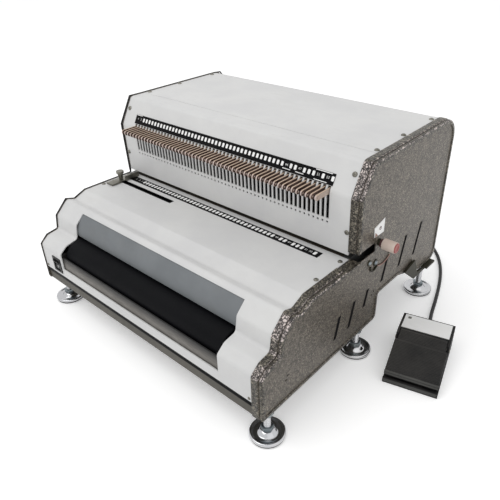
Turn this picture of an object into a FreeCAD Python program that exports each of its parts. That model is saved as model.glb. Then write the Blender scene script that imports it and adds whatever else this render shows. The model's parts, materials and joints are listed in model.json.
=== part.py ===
import FreeCAD, Part
import math
import os
import re
import Sketcher

# Electric coil binding machine with its foot pedal, in millimetres.
# Modelled from the floor up: x across the machine from its middle, y back from the front face.
# The last step moves every piece so that the origin is the middle of the whole set on the floor.

Vector = FreeCAD.Vector
Rotation = FreeCAD.Rotation
Placement = FreeCAD.Placement

os.makedirs("parts", exist_ok=True)
doc = FreeCAD.newDocument("CoilBindingMachine")
sheet = doc.addObject("Spreadsheet::Sheet", "Sizes")
sheet.Label = "Sizes"

SIZES = {
    # Holes and selector pins
    "pin_count": 54,
    "pin_pitch": 6.2865,
    "pin_radius": 2.0,
    "pin_head_proud": 0.7,
    "pin_head_tall": 3.8,
    "pin_row_y": 193.0,
    "run_gap": 0.05,
    "side_gap": 0.3,
    # Covers and side panels
    "row_margin": 29.408,
    "sheet_wall": 1.5,
    "plate_thick": 8.0,
    "cheek_depth": 13.8,
    "cheek_wall": 1.4,
    "bead_depth": 9.2,
    "bead_gap": 1.0,
    "left_thick": 3.0,
    "rim_proud": 0.8,
    "face_recess": 1.0,
    "lap_gap": 0.4,
    "tower_lap_y": 205.0,
    "rear_lap_z": 226.0,
    # Corners of the side outline, front to back and floor to top
    "rear_y": 376.0,
    "top_z": 258.6,
    "deck_z": 145.0,
    "throat_gap": 6.0,
    "sill_z": 36.7,
    "heel_y": 217.0,
    "belly_z": 74.5,
    "belly_y": 266.0,
    "skirt_y": 332.0,
    "skirt_z": 51.5,
    "tail_y": 369.0,
    "rump_z": 60.0,
    "brow_y": 180.8,
    "brow_z": 257.0,
    "knee_y": 160.4,
    "knee_z": 221.3,
    "chin_y": 162.0,
    "deck_rear_y": 163.9,
    "deck_front_y": 80.3,
    "valley_y": 62.1,
    "valley_z": 137.4,
    "ridge_y": 50.0,
    "ridge_z": 141.7,
    "step_y": 31.2,
    "step_z": 123.9,
    "roll_y": 28.2,
    "roll_z": 104.1,
    "lip_y": 11.4,
    "lip_z": 101.5,
    "lip_front_z": 92.6,
    # Front openings
    "lip_low_z": 56.0,
    "opening_low_z": 69.0,
    "switch_z": 71.5,
    "switch_wide": 16.0,
    "switch_tall": 19.0,
    "guide_slot_y": 132.6,
    "guide_slot_wide": 5.6,
    "guide_travel": 110.0,
    # Slots for the selector levers
    "slot_wide": 4.0,
    "slot_low_z": 188.0,
    "slot_top_z": 226.2,
    "dot_z": 183.6,
    "dot_radius": 1.3,
    "lever_thick": 1.9,
    "lever_tall": 6.4,
    "lever_z": 220.7,
    "lever_tip_y": 137.0,
    "lever_eye_radius": 1.2,
    "bank_count": 6,
    # Dies, ram and drive
    "die_thick": 14.0,
    "die_rear_y": 206.0,
    "stripper_thick": 7.0,
    "stripper_rear_y": 197.8,
    "ram_front_y": 181.0,
    "ram_rear_y": 199.0,
    "ram_low_z": 206.0,
    "ram_top_z": 230.0,
    "post_radius": 5.0,
    "shaft_y": 225.0,
    "shaft_radius": 6.0,
    "crank_throw": 7.0,
    "crank_disc": 13.0,
    "rod_thick": 3.0,
    "rod_half_wide": 4.5,
    "rod_pin_y": 192.0,
    "rod_pin_z": 218.0,
    "rod_pin_radius": 4.0,
    "gear_module": 1.5,
    "gear_teeth": 24,
    "pinion_teeth": 12,
    "gear_x": 100.0,
    "gear_wide": 10.0,
    "stub_radius": 4.0,
    "punch_motor_radius": 34.0,
    "punch_motor_long": 126.0,
    # Depth stop
    "depth_y": 206.5,
    "drum_radius": 7.0,
    "drum_offset": 1.2,
    "journal_radius": 4.0,
    "collar_radius": 5.0,
    "collar_long": 3.0,
    "knob_radius": 6.8,
    "knob_out": 20.0,
    "tag_thick": 0.8,
    # Roller and its drive
    "roller_z": 84.0,
    "roller_radius": 21.5,
    "spindle_radius": 5.0,
    "tray_wall": 1.6,
    "pulley_wide": 10.0,
    "pulley_radius": 14.0,
    "flange_thick": 1.5,
    "flange_proud": 3.0,
    "coil_motor_y": 110.0,
    "coil_motor_z": 100.0,
    "coil_motor_radius": 29.0,
    "coil_motor_long": 90.0,
    "motor_pulley_radius": 9.0,
    "belt_thick": 2.0,
    # Edge guide and scales
    "guide_plate_thick": 2.0,
    "clamp_screw_radius": 1.3,
    "clamp_neck_radius": 2.7,
    "clamp_neck_tall": 9.0,
    "clamp_cap_radius": 5.5,
    "clamp_cap_tall": 3.4,
    "scale_thick": 0.5,
    # Chip drawer
    "shelf_z": 54.0,
    "drawer_wall": 1.2,
    # Screws and feet
    "screw_radius": 3.0,
    "screw_tall": 1.8,
    "deck_screw_radius": 2.8,
    "deck_screw_tall": 1.6,
    "lip_screw_radius": 1.8,
    "foot_front_y": 16.0,
    "foot_middle_y": 186.0,
    "foot_rear_y": 355.0,
    "foot_radius": 20.0,
    "pad_tall": 2.6,
    "disc_tall": 3.0,
    "dome_tall": 3.4,
    "stud_radius": 4.0,
    "nut_radius": 7.5,
    "nut_tall": 5.0,
    "tab_thick": 3.0,
    "tab_half": 12.0,
    # Rear fittings
    "gland_x": 54.0,
    "gland_z": 72.0,
    "gland_radius": 6.0,
    "inlet_x": -120.0,
    "inlet_z": 105.0,
    "inlet_half_wide": 23.0,
    "inlet_half_tall": 12.0,
    "rear_vent_wide": 3.0,
    "tie_bar_radius": 6.0,
    # Foot pedal and its cord
    "pedal_wide": 63.5,
    "pedal_long": 95.0,
    "pedal_tall": 36.0,
    "pedal_y": 160.0,
    "pedal_turn": 14.5,
    "pedal_wall": 3.0,
    "pedal_pin_radius": 2.5,
    "pedal_pin_z": 27.0,
    "hood_long": 33.0,
    "label_thick": 0.6,
    "cord_radius": 2.5,
    "cord_gap": 0.6,
    "coil_inner": 17.8,
}
DERIVED = {
    # The pin row sets the width, and every fitting keeps its place beside it
    "cover_half": "pin_pitch * (pin_count - 1) / 2 + row_margin",
    "inner_half": "cover_half - plate_thick",
    "cheek_x": "cover_half + cheek_depth",
    "left_x": "-1 * cover_half - left_thick",
    "opening_half": "cover_half - 47",
    "roller_half": "opening_half - 2.5",
    "ram_half": "inner_half - 4.5",
    "post_x": "ram_half - 7",
    "switch_x": "33 - cover_half",
    "guide_slot_left": "9.5 - cover_half",
    "clamp_x": "guide_slot_left + 4.5",
    "pulley_x": "4 - inner_half",
    "screw_x": "cover_half - 4.3",
    "foot_right_x": "cover_half + 5.5",
    "foot_left_x": "14 - cover_half",
    "pedal_x": "cover_half + 60",
    # Heights and depths that several pieces share
    "throat_z": "deck_z + throat_gap",
    "die_low_z": "deck_z - die_thick",
    "depth_z": "deck_z + drum_radius + 0.5",
    "shaft_z": "depth_z + drum_radius + 15.5",
    "roller_y": "roller_radius + 6.5",
    "ledge_z": "sill_z + sheet_wall",
    "shelf_top_z": "shelf_z + sheet_wall",
    "lever_low_z": "lever_z - lever_tall / 2",
    "pin_seat_z": "lever_low_z - 4.5",
    "gear_gap": "gear_module * (gear_teeth + pinion_teeth) / 2",
    "pinion_y": "shaft_y + gear_gap",
    "disc_top_z": "pad_tall + disc_tall",
    "hood_y": "pedal_long - hood_long",
    "pedal_pin_y": "hood_y - 7",
    # The coil of spare cord behind the machine
    "coil_pitch": "2 * cord_radius + cord_gap",
    "coil_outer": "coil_inner + 3.25 * coil_pitch",
    "coil_x": "gland_x + coil_outer",
    "coil_y": "rear_y + 90",
}
row_names = set()


# Sheet cells and bound values

def add_cell(name, value):
    row = len(row_names) + 1
    sheet.set("A%d" % row, name)
    sheet.set("B%d" % row, str(value))
    sheet.setAlias("B%d" % row, name)
    row_names.add(name)


def size(name):
    return float(sheet.get(name))


def formula(text):
    def prefixed(word):
        return "Sizes." + word.group() if word.group() in row_names else word.group()
    return re.sub(r"[A-Za-z_]\w*", prefixed, str(text))


def bind(item, prop, text):
    item.setExpression(prop, formula(text))


for cell_name, cell_value in SIZES.items():
    add_cell(cell_name, cell_value)
for cell_name, cell_formula in DERIVED.items():
    add_cell(cell_name, "=" + cell_formula)
doc.recompute()


# Outline of the machine's side, anticlockwise seen from the right

CORNERS = [
    ("sill", "0", "sill_z", 3.0),
    ("heel", "heel_y", "sill_z", 7.0),
    ("hip", "heel_y", "belly_z", 4.0),
    ("belly", "belly_y", "belly_z", 10.0),
    ("skirt", "skirt_y", "skirt_z", 10.0),
    ("tail", "tail_y", "skirt_z", 4.0),
    ("rump", "rear_y", "rump_z", 4.0),
    ("crown", "rear_y", "top_z", 28.0),
    ("brow", "brow_y", "brow_z", 7.0),
    ("knee", "knee_y", "knee_z", 9.0),
    ("chin", "chin_y", "throat_z", 0.0),
    ("deck_rear", "deck_rear_y", "deck_z", 0.0),
    ("deck_front", "deck_front_y", "deck_z", 7.0),
    ("valley", "valley_y", "valley_z", 6.0),
    ("ridge", "ridge_y", "ridge_z", 6.0),
    ("step", "step_y", "step_z", 7.0),
    ("roll", "roll_y", "roll_z", 5.0),
    ("lip", "lip_y", "lip_z", 8.0),
    ("lip_front", "0", "lip_front_z", 6.0),
]


def outline_cells(tag, inset):
    # Each corner moves by the inset along both its edges' inner normals
    count = len(CORNERS)
    for name, corner_y, corner_z, _ in CORNERS:
        add_cell(tag + "_base_y_" + name, "=" + corner_y)
        add_cell(tag + "_base_z_" + name, "=" + corner_z)
    for index in range(count):
        here = CORNERS[index][0]
        after = CORNERS[(index + 1) % count][0]
        run_y = "(%s_base_y_%s - %s_base_y_%s)" % (tag, after, tag, here)
        run_z = "(%s_base_z_%s - %s_base_z_%s)" % (tag, after, tag, here)
        length = "sqrt(%s * %s + %s * %s)" % (run_y, run_y, run_z, run_z)
        add_cell(tag + "_in_y_" + here, "=-1 * %s / %s" % (run_z, length))
        add_cell(tag + "_in_z_" + here, "=%s / %s" % (run_y, length))
    for index in range(count):
        here = CORNERS[index][0]
        before = CORNERS[index - 1][0]
        products = ["%s_in_%s_%s * %s_in_%s_%s" % (tag, way, before, tag, way, here) for way in "yz"]
        spread = "(1 + %s)" % " + ".join(products)
        for way in "yz":
            normals = "(%s_in_%s_%s + %s_in_%s_%s)" % (tag, way, before, tag, way, here)
            base = "%s_base_%s_%s" % (tag, way, here)
            moved = "=%s + (%s) * %s / %s" % (base, inset, normals, spread)
            add_cell("%s_%s_%s" % (tag, way, here), moved)


# Shared ways to make a piece

def box(name, low, high):
    item = doc.addObject("Part::Box", name)
    for prop, start, end in zip(("Length", "Width", "Height"), low, high):
        bind(item, prop, "(%s) - (%s)" % (end, start))
    for axis, start in zip("xyz", low):
        bind(item, "Placement.Base." + axis, start)
    return item


AXIS_TURNS = {
    "x": Rotation(Vector(0, 1, 0), 90),
    "y": Rotation(Vector(1, 0, 0), -90),
    "z": Rotation(),
}
SIDE_VIEW = Rotation(Vector(0, 1, 0), Vector(0, 0, 1), Vector(1, 0, 0), "ZXY")


def rod(name, axis, radius, start, length):
    item = doc.addObject("Part::Cylinder", name)
    item.Placement = Placement(Vector(), AXIS_TURNS[axis])
    bind(item, "Radius", radius)
    bind(item, "Height", length)
    for way, place in zip("xyz", start):
        bind(item, "Placement.Base." + way, place)
    return item


def cone(name, axis, radius_low, radius_high, start, length):
    item = doc.addObject("Part::Cone", name)
    item.Placement = Placement(Vector(), AXIS_TURNS[axis])
    bind(item, "Radius1", radius_low)
    bind(item, "Radius2", radius_high)
    bind(item, "Height", length)
    for way, place in zip("xyz", start):
        bind(item, "Placement.Base." + way, place)
    return item


def prism(name, points, start_x, length):
    # A closed outline in y and z, drawn out along x
    count = len(points)
    corners = [Vector(value(across), value(up), 0) for across, up in points]
    sketch = doc.addObject("Sketcher::SketchObject", name + "Sketch")
    sketch.Placement = Placement(Vector(), SIDE_VIEW)
    lines = [Part.LineSegment(corners[index], corners[(index + 1) % count]) for index in range(count)]
    sketch.addGeometry(lines, False)
    for index in range(count):
        sketch.addConstraint(Sketcher.Constraint("Coincident", index, 2, (index + 1) % count, 1))
    for index, point in enumerate(points):
        for kind, text, amount in zip(("DistanceX", "DistanceY"), point, tuple(corners[index])):
            number = sketch.addConstraint(Sketcher.Constraint(kind, -1, 1, index, 1, amount))
            bind(sketch, "Constraints[%d]" % number, text)
    item = doc.addObject("Part::Extrusion", name)
    item.Base = sketch
    item.DirMode = "Normal"
    item.Solid = True
    bind(item, "LengthFwd", length)
    bind(item, "Placement.Base.x", start_x)
    return item


def value(text):
    # The number that a formula of sheet cells comes to
    probe = doc.getObject("Probe") or doc.addObject("App::FeaturePython", "Probe")
    if "amount" not in probe.PropertiesList:
        probe.addProperty("App::PropertyFloat", "amount")
    probe.setExpression("amount", formula(text))
    probe.recompute()
    return probe.amount


def joined(name, items):
    item = doc.addObject("Part::MultiFuse", name)
    item.Shapes = items
    item.Refine = True
    return item


def group(name, items):
    item = doc.addObject("Part::Compound", name)
    item.Links = items
    return item


def cut(name, base, tools):
    tool = tools[0] if len(tools) == 1 else group(name + "Tools", tools)
    item = doc.addObject("Part::Cut", name)
    item.Base = base
    item.Tool = tool
    return item


def common(name, base, tool):
    item = doc.addObject("Part::Common", name)
    item.Base = base
    item.Tool = tool
    return item


def mirrored(name, source):
    item = doc.addObject("Part::Mirroring", name)
    item.Source = source
    item.Normal = Vector(1, 0, 0)
    return item


def rounded(name, base, picks):
    # Each pick is a test of an edge and the radius that such an edge gets
    doc.recompute()
    edges = []
    for number, edge in enumerate(base.Shape.Edges, 1):
        for chosen, radius in picks:
            if radius > 0 and chosen(edge):
                edges.append((number, radius, radius))
                break
    item = doc.addObject("Part::Fillet", name)
    item.Base = base
    item.Edges = edges
    return item


def along_x_at(across, up):
    def chosen(edge):
        first, last = edge.Vertexes[0].Point, edge.Vertexes[-1].Point
        straight = math.hypot(first.y - last.y, first.z - last.z) < 0.01
        return straight and math.hypot(first.y - across, first.z - up) < 0.05
    return chosen


def in_plane_x(place):
    def chosen(edge):
        return all(abs(vertex.Point.x - place) < 0.01 for vertex in edge.Vertexes)
    return chosen


def outline_body(name, tag, start_x, length, wall=0.0):
    # The side outline drawn out along x, with its bends rounded for a sheet of this wall
    names = [corner[0] for corner in CORNERS]
    points = [("%s_y_%s" % (tag, corner), "%s_z_%s" % (tag, corner)) for corner in names]
    plain = prism(name + "Plain", points, start_x, length)
    places = [(size(across), size(up)) for across, up in points]
    picks = []
    for index, corner in enumerate(CORNERS):
        back, here, ahead = places[index - 1], places[index], places[(index + 1) % len(CORNERS)]
        turn = (here[0] - back[0]) * (ahead[1] - here[1]) - (here[1] - back[1]) * (ahead[0] - here[0])
        radius = corner[3]
        kept = radius - wall if turn > 0 else radius + wall
        if radius > 0:
            picks.append((along_x_at(*here), max(kept, LEAST_BEND)))
    return rounded(name, plain, picks)


# Place of each pin, lever and slot along the row

def pin_x(index):
    return "pin_pitch * (%d - (pin_count - 1) / 2)" % index


PIN_ROW = range(int(size("pin_count")))
POST_PLACES = ("post_x", "-1 * post_x")
LOW_Y = "-20"
HIGH_Y = "rear_y + 20"
REAR_VENTS = 12
LEAST_BEND = 0.5
HOLLOW_INSET = 2.4
FACE_INSET = 4.6

outline_cells("skin", "0")
outline_cells("core", "sheet_wall")
outline_cells("rim", "-1 * rim_proud")
outline_cells("groove", "1.2")
outline_cells("bead", "-0.2")
outline_cells("hollow", str(HOLLOW_INSET))
outline_cells("face", str(FACE_INSET))
doc.recompute()

pieces = {}


def keep(name, item):
    item.Label = name
    pieces[name] = item
    return item


# Sheet covers, cut from one ring of sheet that follows the side outline

def sheet_ring():
    width = "2 * cover_half"
    skin = outline_body("Skin", "skin", "-1 * cover_half", width)
    core = outline_body("Core", "core", "-1 * cover_half - 1", width + " + 2", size("sheet_wall"))
    return cut("SheetRing", skin, [core])


ring = sheet_ring()


def region(name, low_y, high_y, low_z, high_z):
    return box(name, ("-1 * cover_half - 5", low_y, low_z), ("cover_half + 5", high_y, high_z))


def front_cover():
    span = region("FrontRegion", LOW_Y, "deck_rear_y", "lip_low_z", "deck_z")
    sheet_part = common("FrontSheet", ring, span)
    window = prism("RollerWindow", [
        ("-6", "opening_low_z"),
        ("step_y + 5", "opening_low_z"),
        ("step_y + 5", "step_z - 6"),
        ("ridge_y - 3.8", "ridge_z - 7.4"),
        ("ridge_y - 11.5", "ridge_z + 1.1"),
        ("-6", "ridge_z + 1.1"),
    ], "-1 * opening_half", "2 * opening_half")
    switch_hole = box("SwitchHole",
                      ("switch_x - switch_wide / 2", "-5", "switch_z - switch_tall / 2"),
                      ("switch_x + switch_wide / 2", "10", "switch_z + switch_tall / 2"))
    slot = box("GuideSlot",
               ("guide_slot_left", "guide_slot_y - guide_slot_wide / 2", "deck_z - 5"),
               ("guide_slot_left + guide_travel + 8", "guide_slot_y + guide_slot_wide / 2", "deck_z + 5"))
    return keep("front_cover", cut("FrontCover", sheet_part, [window, switch_hole, slot]))


def tower_front():
    span = region("TowerRegion", "knee_y - 20", "tower_lap_y", "throat_z", "top_z + 5")
    sheet_part = common("TowerSheet", ring, span)
    tools = []
    for index in PIN_ROW:
        middle = pin_x(index)
        tools.append(box("LeverSlot%d" % index,
                         (middle + " - slot_wide / 2", "knee_y - 10", "slot_low_z"),
                         (middle + " + slot_wide / 2", "knee_y + 10", "slot_top_z")))
        tools.append(rod("SlotDot%d" % index, "y", "dot_radius", (middle, "knee_y - 10", "dot_z"), "20"))
    return keep("tower_front", cut("TowerFront", sheet_part, tools))


def tower_top():
    span = region("TopRegion", "tower_lap_y + lap_gap", HIGH_Y, "rear_lap_z", "top_z + 5")
    return keep("tower_top", common("TowerTop", ring, span))


def rear_cover():
    span = region("RearRegion", "rear_y - 20", HIGH_Y, "rump_z + 2", "rear_lap_z - lap_gap")
    sheet_part = common("RearSheet", ring, span)
    tools = [
        rod("GlandHole", "y", "gland_radius", ("gland_x", "rear_y - 10", "gland_z"), "20"),
        box("InletHole",
            ("inlet_x - inlet_half_wide - 0.2", "rear_y - 10", "inlet_z - inlet_half_tall - 0.2"),
            ("inlet_x + inlet_half_wide + 0.2", "rear_y + 10", "inlet_z + inlet_half_tall + 0.2")),
    ]
    for column in range(REAR_VENTS):
        place = "cover_half - 60 - 3 * rear_vent_wide * %d" % column
        tools.append(box("RearVent%d" % column,
                         (place, "rear_y - 10", "rump_z + 70"),
                         (place + " + rear_vent_wide", "rear_y + 10", "rump_z + 110")))
    return keep("rear_cover", cut("RearCover", sheet_part, tools))


def base_pan():
    low_y = "heel_y - 1.4"
    belly_span = region("BellyRegion", low_y, HIGH_Y, "sill_z", "rump_z + 1.6")
    roof_span = region("RoofRegion", low_y, "belly_y + 90", "skirt_z - 5", "belly_z + 6")
    belly = common("BellySheet", ring, belly_span)
    roof = common("BellyRoof", ring, roof_span)
    shelf = box("Shelf",
                ("-1 * inner_half", "3.7", "shelf_z"),
                ("inner_half", "heel_y - 0.5", "shelf_top_z"))
    whole = joined("PanWhole", [belly, roof, shelf])
    chute = box("ChipChute",
                ("11.5 - ram_half", "pin_row_y - 9", "shelf_z - 5"),
                ("ram_half - 11.5", "pin_row_y + 9", "shelf_z + 5"))
    return keep("base_pan", cut("BasePan", whole, [chute]))


def frame_plates():
    plate = outline_body("PlateBlank", "core", "inner_half", "plate_thick", size("sheet_wall"))
    low_x, high_x = "inner_half - 1", "cover_half + 1"
    length = "plate_thick + 2"
    tools = [
        box("PlateFrontRelief", (low_x, "-5", "0"), (high_x, "3.7", "lip_low_z - 0.5")),
        box("PlateThroat", (low_x, "knee_y - 20", "deck_z"), (high_x, "depth_y - 7.5", "throat_z")),
        rod("PlateRollerHole", "x", "spindle_radius + run_gap", (low_x, "roller_y", "roller_z"), length),
        rod("PlateDepthHole", "x", "journal_radius + run_gap", (low_x, "depth_y", "depth_z"), length),
    ]
    bored = cut("PlateBored", plate, tools)
    ledge = box("DrawerLedge",
                ("inner_half - 5", "6", "ledge_z"),
                ("inner_half + 1", "heel_y - 4", "ledge_z + 1.5"))
    right = joined("PlateRight", [bored, ledge])
    return keep("frame_plates", group("FramePlates", [right, mirrored("PlateLeft", right)]))


# Side panels

VENTS = [(310.6, 88.3, 132.6), (270.8, 89.7, 130.5), (227.2, 88.8, 118.0),
         (187.9, 72.2, 94.8), (158.0, 60.4, 93.9), (129.0, 61.0, 90.0)]
VENT_LEAN = 0.28
VENT_WIDE = 5.4
SIDE_DOTS = [(206.0, 83.7), (201.0, 80.5), (41.0, 71.0), (38.0, 66.0)]
SIDE_DOT_RADIUS = 1.3
KNOB_HOLE_RADIUS = 4.6


def side_tools(tag, start_x, length):
    tools = []
    for number, (middle_y, low_z, high_z) in enumerate(VENTS):
        slant = VENT_LEAN * (high_z - low_z) / 2
        edges = (middle_y - VENT_WIDE / 2, middle_y + VENT_WIDE / 2)
        points = [(edges[0] - slant, low_z), (edges[1] - slant, low_z),
                  (edges[1] + slant, high_z), (edges[0] + slant, high_z)]
        tools.append(prism("%sVent%d" % (tag, number), points, start_x, length))
    for number, (dot_y, dot_z) in enumerate(SIDE_DOTS):
        place = (start_x, dot_y, dot_z)
        tools.append(rod("%sDot%d" % (tag, number), "x", SIDE_DOT_RADIUS, place, length))
    tools.append(rod(tag + "KnobHole", "x", KNOB_HOLE_RADIUS, (start_x, "depth_y", "depth_z"), length))
    return tools


def right_side_panel():
    # Two rim beads with a groove between them, round a face that lies a little below their edge
    groove_x = "cover_half + bead_depth"
    second_x = groove_x + " + bead_gap"
    rim = outline_body("RimBlank", "rim", "cover_half", "bead_depth")
    rim_bead = rounded("RimBead", rim, [(in_plane_x(value(groove_x)), 2.6)])
    neck = outline_body("NeckBlank", "groove", groove_x + " - 0.5", "bead_gap + 1.5")
    second = outline_body("SecondBlank", "bead", second_x, "cheek_depth - bead_depth - bead_gap")
    picks = [(in_plane_x(value(second_x)), 1.2), (in_plane_x(value("cheek_x")), 1.9)]
    whole = joined("CheekWhole", [rim_bead, neck, rounded("SecondBead", second, picks)])
    hollow_depth = "cheek_depth + 1 - face_recess - cheek_wall"
    hollow = outline_body("HollowBlank", "hollow", "cover_half - 1", hollow_depth, HOLLOW_INSET)
    recess = outline_body("RecessBlank", "face", "cheek_x - face_recess", "5", FACE_INSET)
    notch = box("CheekNotch",
                ("cover_half - 2", "knee_y - 20", "deck_z - 1"),
                ("cheek_x + 6", "depth_y - 7.5", "deck_z + 11"))
    shaped = whole
    for number, tool in enumerate([recess, hollow, notch]):
        shaped = cut("CheekStage%d" % number, shaped, [tool])
    feet = [rod("CheekFootHole%d" % number, "z", "stud_radius + 0.2", ("foot_right_x", place, "20"), "40")
            for number, place in enumerate(("foot_front_y", "foot_middle_y", "foot_rear_y"))]
    holes = side_tools("Right", "cover_half - 2", "cheek_depth + 4")
    return keep("right_side_panel", cut("RightPanel", shaped, holes + feet))


def left_side_panel():
    blank = outline_body("LeftBlank", "rim", "left_x", "left_thick")
    edged = rounded("LeftEdged", blank, [(in_plane_x(value("left_x")), 1.2)])
    notch = box("LeftNotch",
                ("left_x - 2", "knee_y - 20", "deck_z - 1"),
                ("2 - cover_half", "depth_y - 7.5", "deck_z + 11"))
    holes = side_tools("Left", "left_x - 2", "left_thick + 4")
    return keep("left_side_panel", cut("LeftPanel", edged, [notch] + holes))


# Roller bay

def backing_panel():
    points = [
        ("step_y + 1.6", "roll_z + 3.4"),
        ("step_y + 4.2", "step_z - 2.6"),
        ("ridge_y + 1", "ridge_z - 4.0"),
        ("ridge_y + 6", "ridge_z - 5.6"),
        ("ridge_y + 6", "ridge_z - 7.2"),
        ("ridge_y + 1.6", "ridge_z - 5.6"),
        ("step_y + 5.7", "step_z - 3.2"),
        ("step_y + 3.2", "roll_z + 3.2"),
    ]
    return keep("backing_panel", prism("BackingPanel", points, "-1 * inner_half", "2 * inner_half"))


def roller_tray():
    half = "opening_half + 3"
    back_y = "roller_y + roller_radius + 4.5"
    floor_z = "shelf_top_z + tray_wall"
    points = [
        ("2.6", "shelf_top_z"),
        (back_y, "shelf_top_z"),
        (back_y, "roll_z - 6"),
        (back_y + " - tray_wall", "roll_z - 6"),
        (back_y + " - tray_wall", floor_z),
        ("2.6 + tray_wall", floor_z),
        ("2.6 + tray_wall", "opening_low_z + 17.4"),
        ("2.6", "opening_low_z + 17.4"),
    ]
    trough = prism("Trough", points, "-1 * (%s)" % half, "2 * (%s)" % half)
    cheek = box("TrayCheek",
                ("%s - tray_wall" % half, "2.6", "shelf_top_z"),
                (half, back_y, "lip_front_z - 2"))
    hole = rod("TrayHole", "x", "spindle_radius + 1", ("opening_half", "roller_y", "roller_z"), "8")
    end = cut("TrayEnd", cheek, [hole])
    return keep("roller_tray", joined("RollerTray", [trough, end, mirrored("TrayEndLeft", end)]))


def inserter_roller():
    start = ("-1 * roller_half", "roller_y", "roller_z")
    sleeve = rod("Sleeve", "x", "roller_radius", start, "2 * roller_half")
    bore = rod("SleeveBore", "x", "spindle_radius + 0.02", start, "2 * roller_half")
    hollow = cut("SleeveBored", sleeve, [bore])
    ends = rounded("RollerSleeve", hollow, [(outer_ring_edge("roller_radius"), 1.5)])
    return keep("inserter_roller", ends)


def outer_ring_edge(radius_name):
    def chosen(edge):
        curve = edge.Curve
        return isinstance(curve, Part.Circle) and abs(curve.Radius - size(radius_name)) < 0.01
    return chosen


def roller_shaft():
    start = ("0.4 - cover_half", "roller_y", "roller_z")
    return keep("roller_shaft", rod("RollerShaft", "x", "spindle_radius", start, "2 * cover_half - 0.8"))


def pulley(name, place_y, place_z, radius, bore):
    starts = ("pulley_x", "pulley_x + pulley_wide - flange_thick")
    rim_start = ("pulley_x + flange_thick", place_y, place_z)
    rim = rod(name + "Rim", "x", radius, rim_start, "pulley_wide - 2 * flange_thick")
    flanges = [rod("%sFlange%d" % (name, number), "x", "(%s) + flange_proud" % radius,
                   (start, place_y, place_z), "flange_thick")
               for number, start in enumerate(starts)]
    whole = joined(name + "Whole", [rim] + flanges)
    hole = rod(name + "Bore", "x", bore, ("pulley_x - 1", place_y, place_z), "pulley_wide + 2")
    return cut(name, whole, [hole])


def roller_pulley():
    wheel = pulley("RollerPulley", "roller_y", "roller_z", "pulley_radius", "spindle_radius + 0.02")
    return keep("roller_pulley", wheel)


def motor_pulley():
    middle = ("coil_motor_y", "coil_motor_z")
    wheel = pulley("MotorPulleyWheel", *middle, "motor_pulley_radius", "stub_radius - 0.5")
    stub = rod("MotorStub", "x", "stub_radius", ("pulley_x - 1",) + middle, "24")
    return keep("motor_pulley", joined("MotorPulley", [wheel, stub]))


def inserter_motor():
    can = rod("CoilMotorCan", "x", "coil_motor_radius",
              ("pulley_x + 20", "coil_motor_y", "coil_motor_z"), "coil_motor_long")
    foot = box("CoilMotorFoot",
               ("pulley_x + 32", "coil_motor_y - 16", "shelf_top_z"),
               ("pulley_x + coil_motor_long + 8", "coil_motor_y + 16", "coil_motor_z - 20"))
    whole = joined("CoilMotorWhole", [can, foot])
    bore = rod("CoilMotorBore", "x", "stub_radius + run_gap",
               ("pulley_x + 10", "coil_motor_y", "coil_motor_z"), "16")
    return keep("inserter_motor", cut("InserterMotor", whole, [bore]))


BELT_INSET = 2.0


def belt_loop(extra):
    # Outer tangents of two circles, seen along x
    place_x = size("pulley_x") + BELT_INSET
    centre_big = Vector(place_x, size("roller_y"), size("roller_z"))
    centre_small = Vector(place_x, size("coil_motor_y"), size("coil_motor_z"))
    away = centre_small - centre_big
    tilt = math.atan2(away.z, away.y)
    big, small = size("pulley_radius") + extra, size("motor_pulley_radius") + extra
    lean = math.acos((big - small) / away.Length)
    top, low = tilt + lean, tilt - lean

    def point(centre, radius, angle):
        return centre + Vector(0, radius * math.cos(angle), radius * math.sin(angle))
    big_top, big_low = point(centre_big, big, top), point(centre_big, big, low)
    small_top, small_low = point(centre_small, small, top), point(centre_small, small, low)
    edges = [
        Part.LineSegment(big_top, small_top).toShape(),
        Part.Arc(small_top, point(centre_small, small, tilt), small_low).toShape(),
        Part.LineSegment(small_low, big_low).toShape(),
        Part.Arc(big_low, point(centre_big, big, tilt + math.pi), big_top).toShape(),
    ]
    return Part.Face(Part.Wire(edges)).extrude(Vector(size("pulley_wide") - 2 * BELT_INSET, 0, 0))


def feature(name, shape):
    item = doc.addObject("Part::Feature", name)
    item.Shape = shape
    return item


def drive_belt():
    gap = size("side_gap")
    band = belt_loop(gap + size("belt_thick")).cut(belt_loop(gap))
    return keep("drive_belt", feature("DriveBelt", band))


# Die, stripper, ram, pins and selectors

def pin_holes(tag, radius, low_z, height):
    return [rod("%s%d" % (tag, index), "z", radius, (pin_x(index), "pin_row_y", low_z), height)
            for index in PIN_ROW]


def die_plate():
    blank = box("DieBlank",
                ("-1 * inner_half", "deck_rear_y + 0.3", "die_low_z"),
                ("inner_half", "die_rear_y", "deck_z"))
    holes = pin_holes("DieHole", "pin_radius + run_gap", "die_low_z - 1", "deck_z - die_low_z + 2")
    return keep("die_plate", cut("DiePlate", blank, holes))


def stripper_plate():
    blank = box("StripperBlank",
                ("-1 * inner_half", "deck_rear_y + 0.3", "throat_z"),
                ("inner_half", "stripper_rear_y", "throat_z + stripper_thick"))
    holes = pin_holes("StripperHole", "pin_radius + run_gap", "throat_z - 1", "stripper_thick + 2")
    return keep("stripper_plate", cut("StripperPlate", blank, holes))


def guide_posts():
    low_z = "throat_z + stripper_thick"
    posts = [rod("Post%d" % number, "z", "post_radius", (place, "ram_front_y + 9", low_z),
                 "ram_top_z + 22 - (%s)" % low_z)
             for number, place in enumerate(POST_PLACES)]
    return keep("guide_posts", group("GuidePosts", posts))


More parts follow.
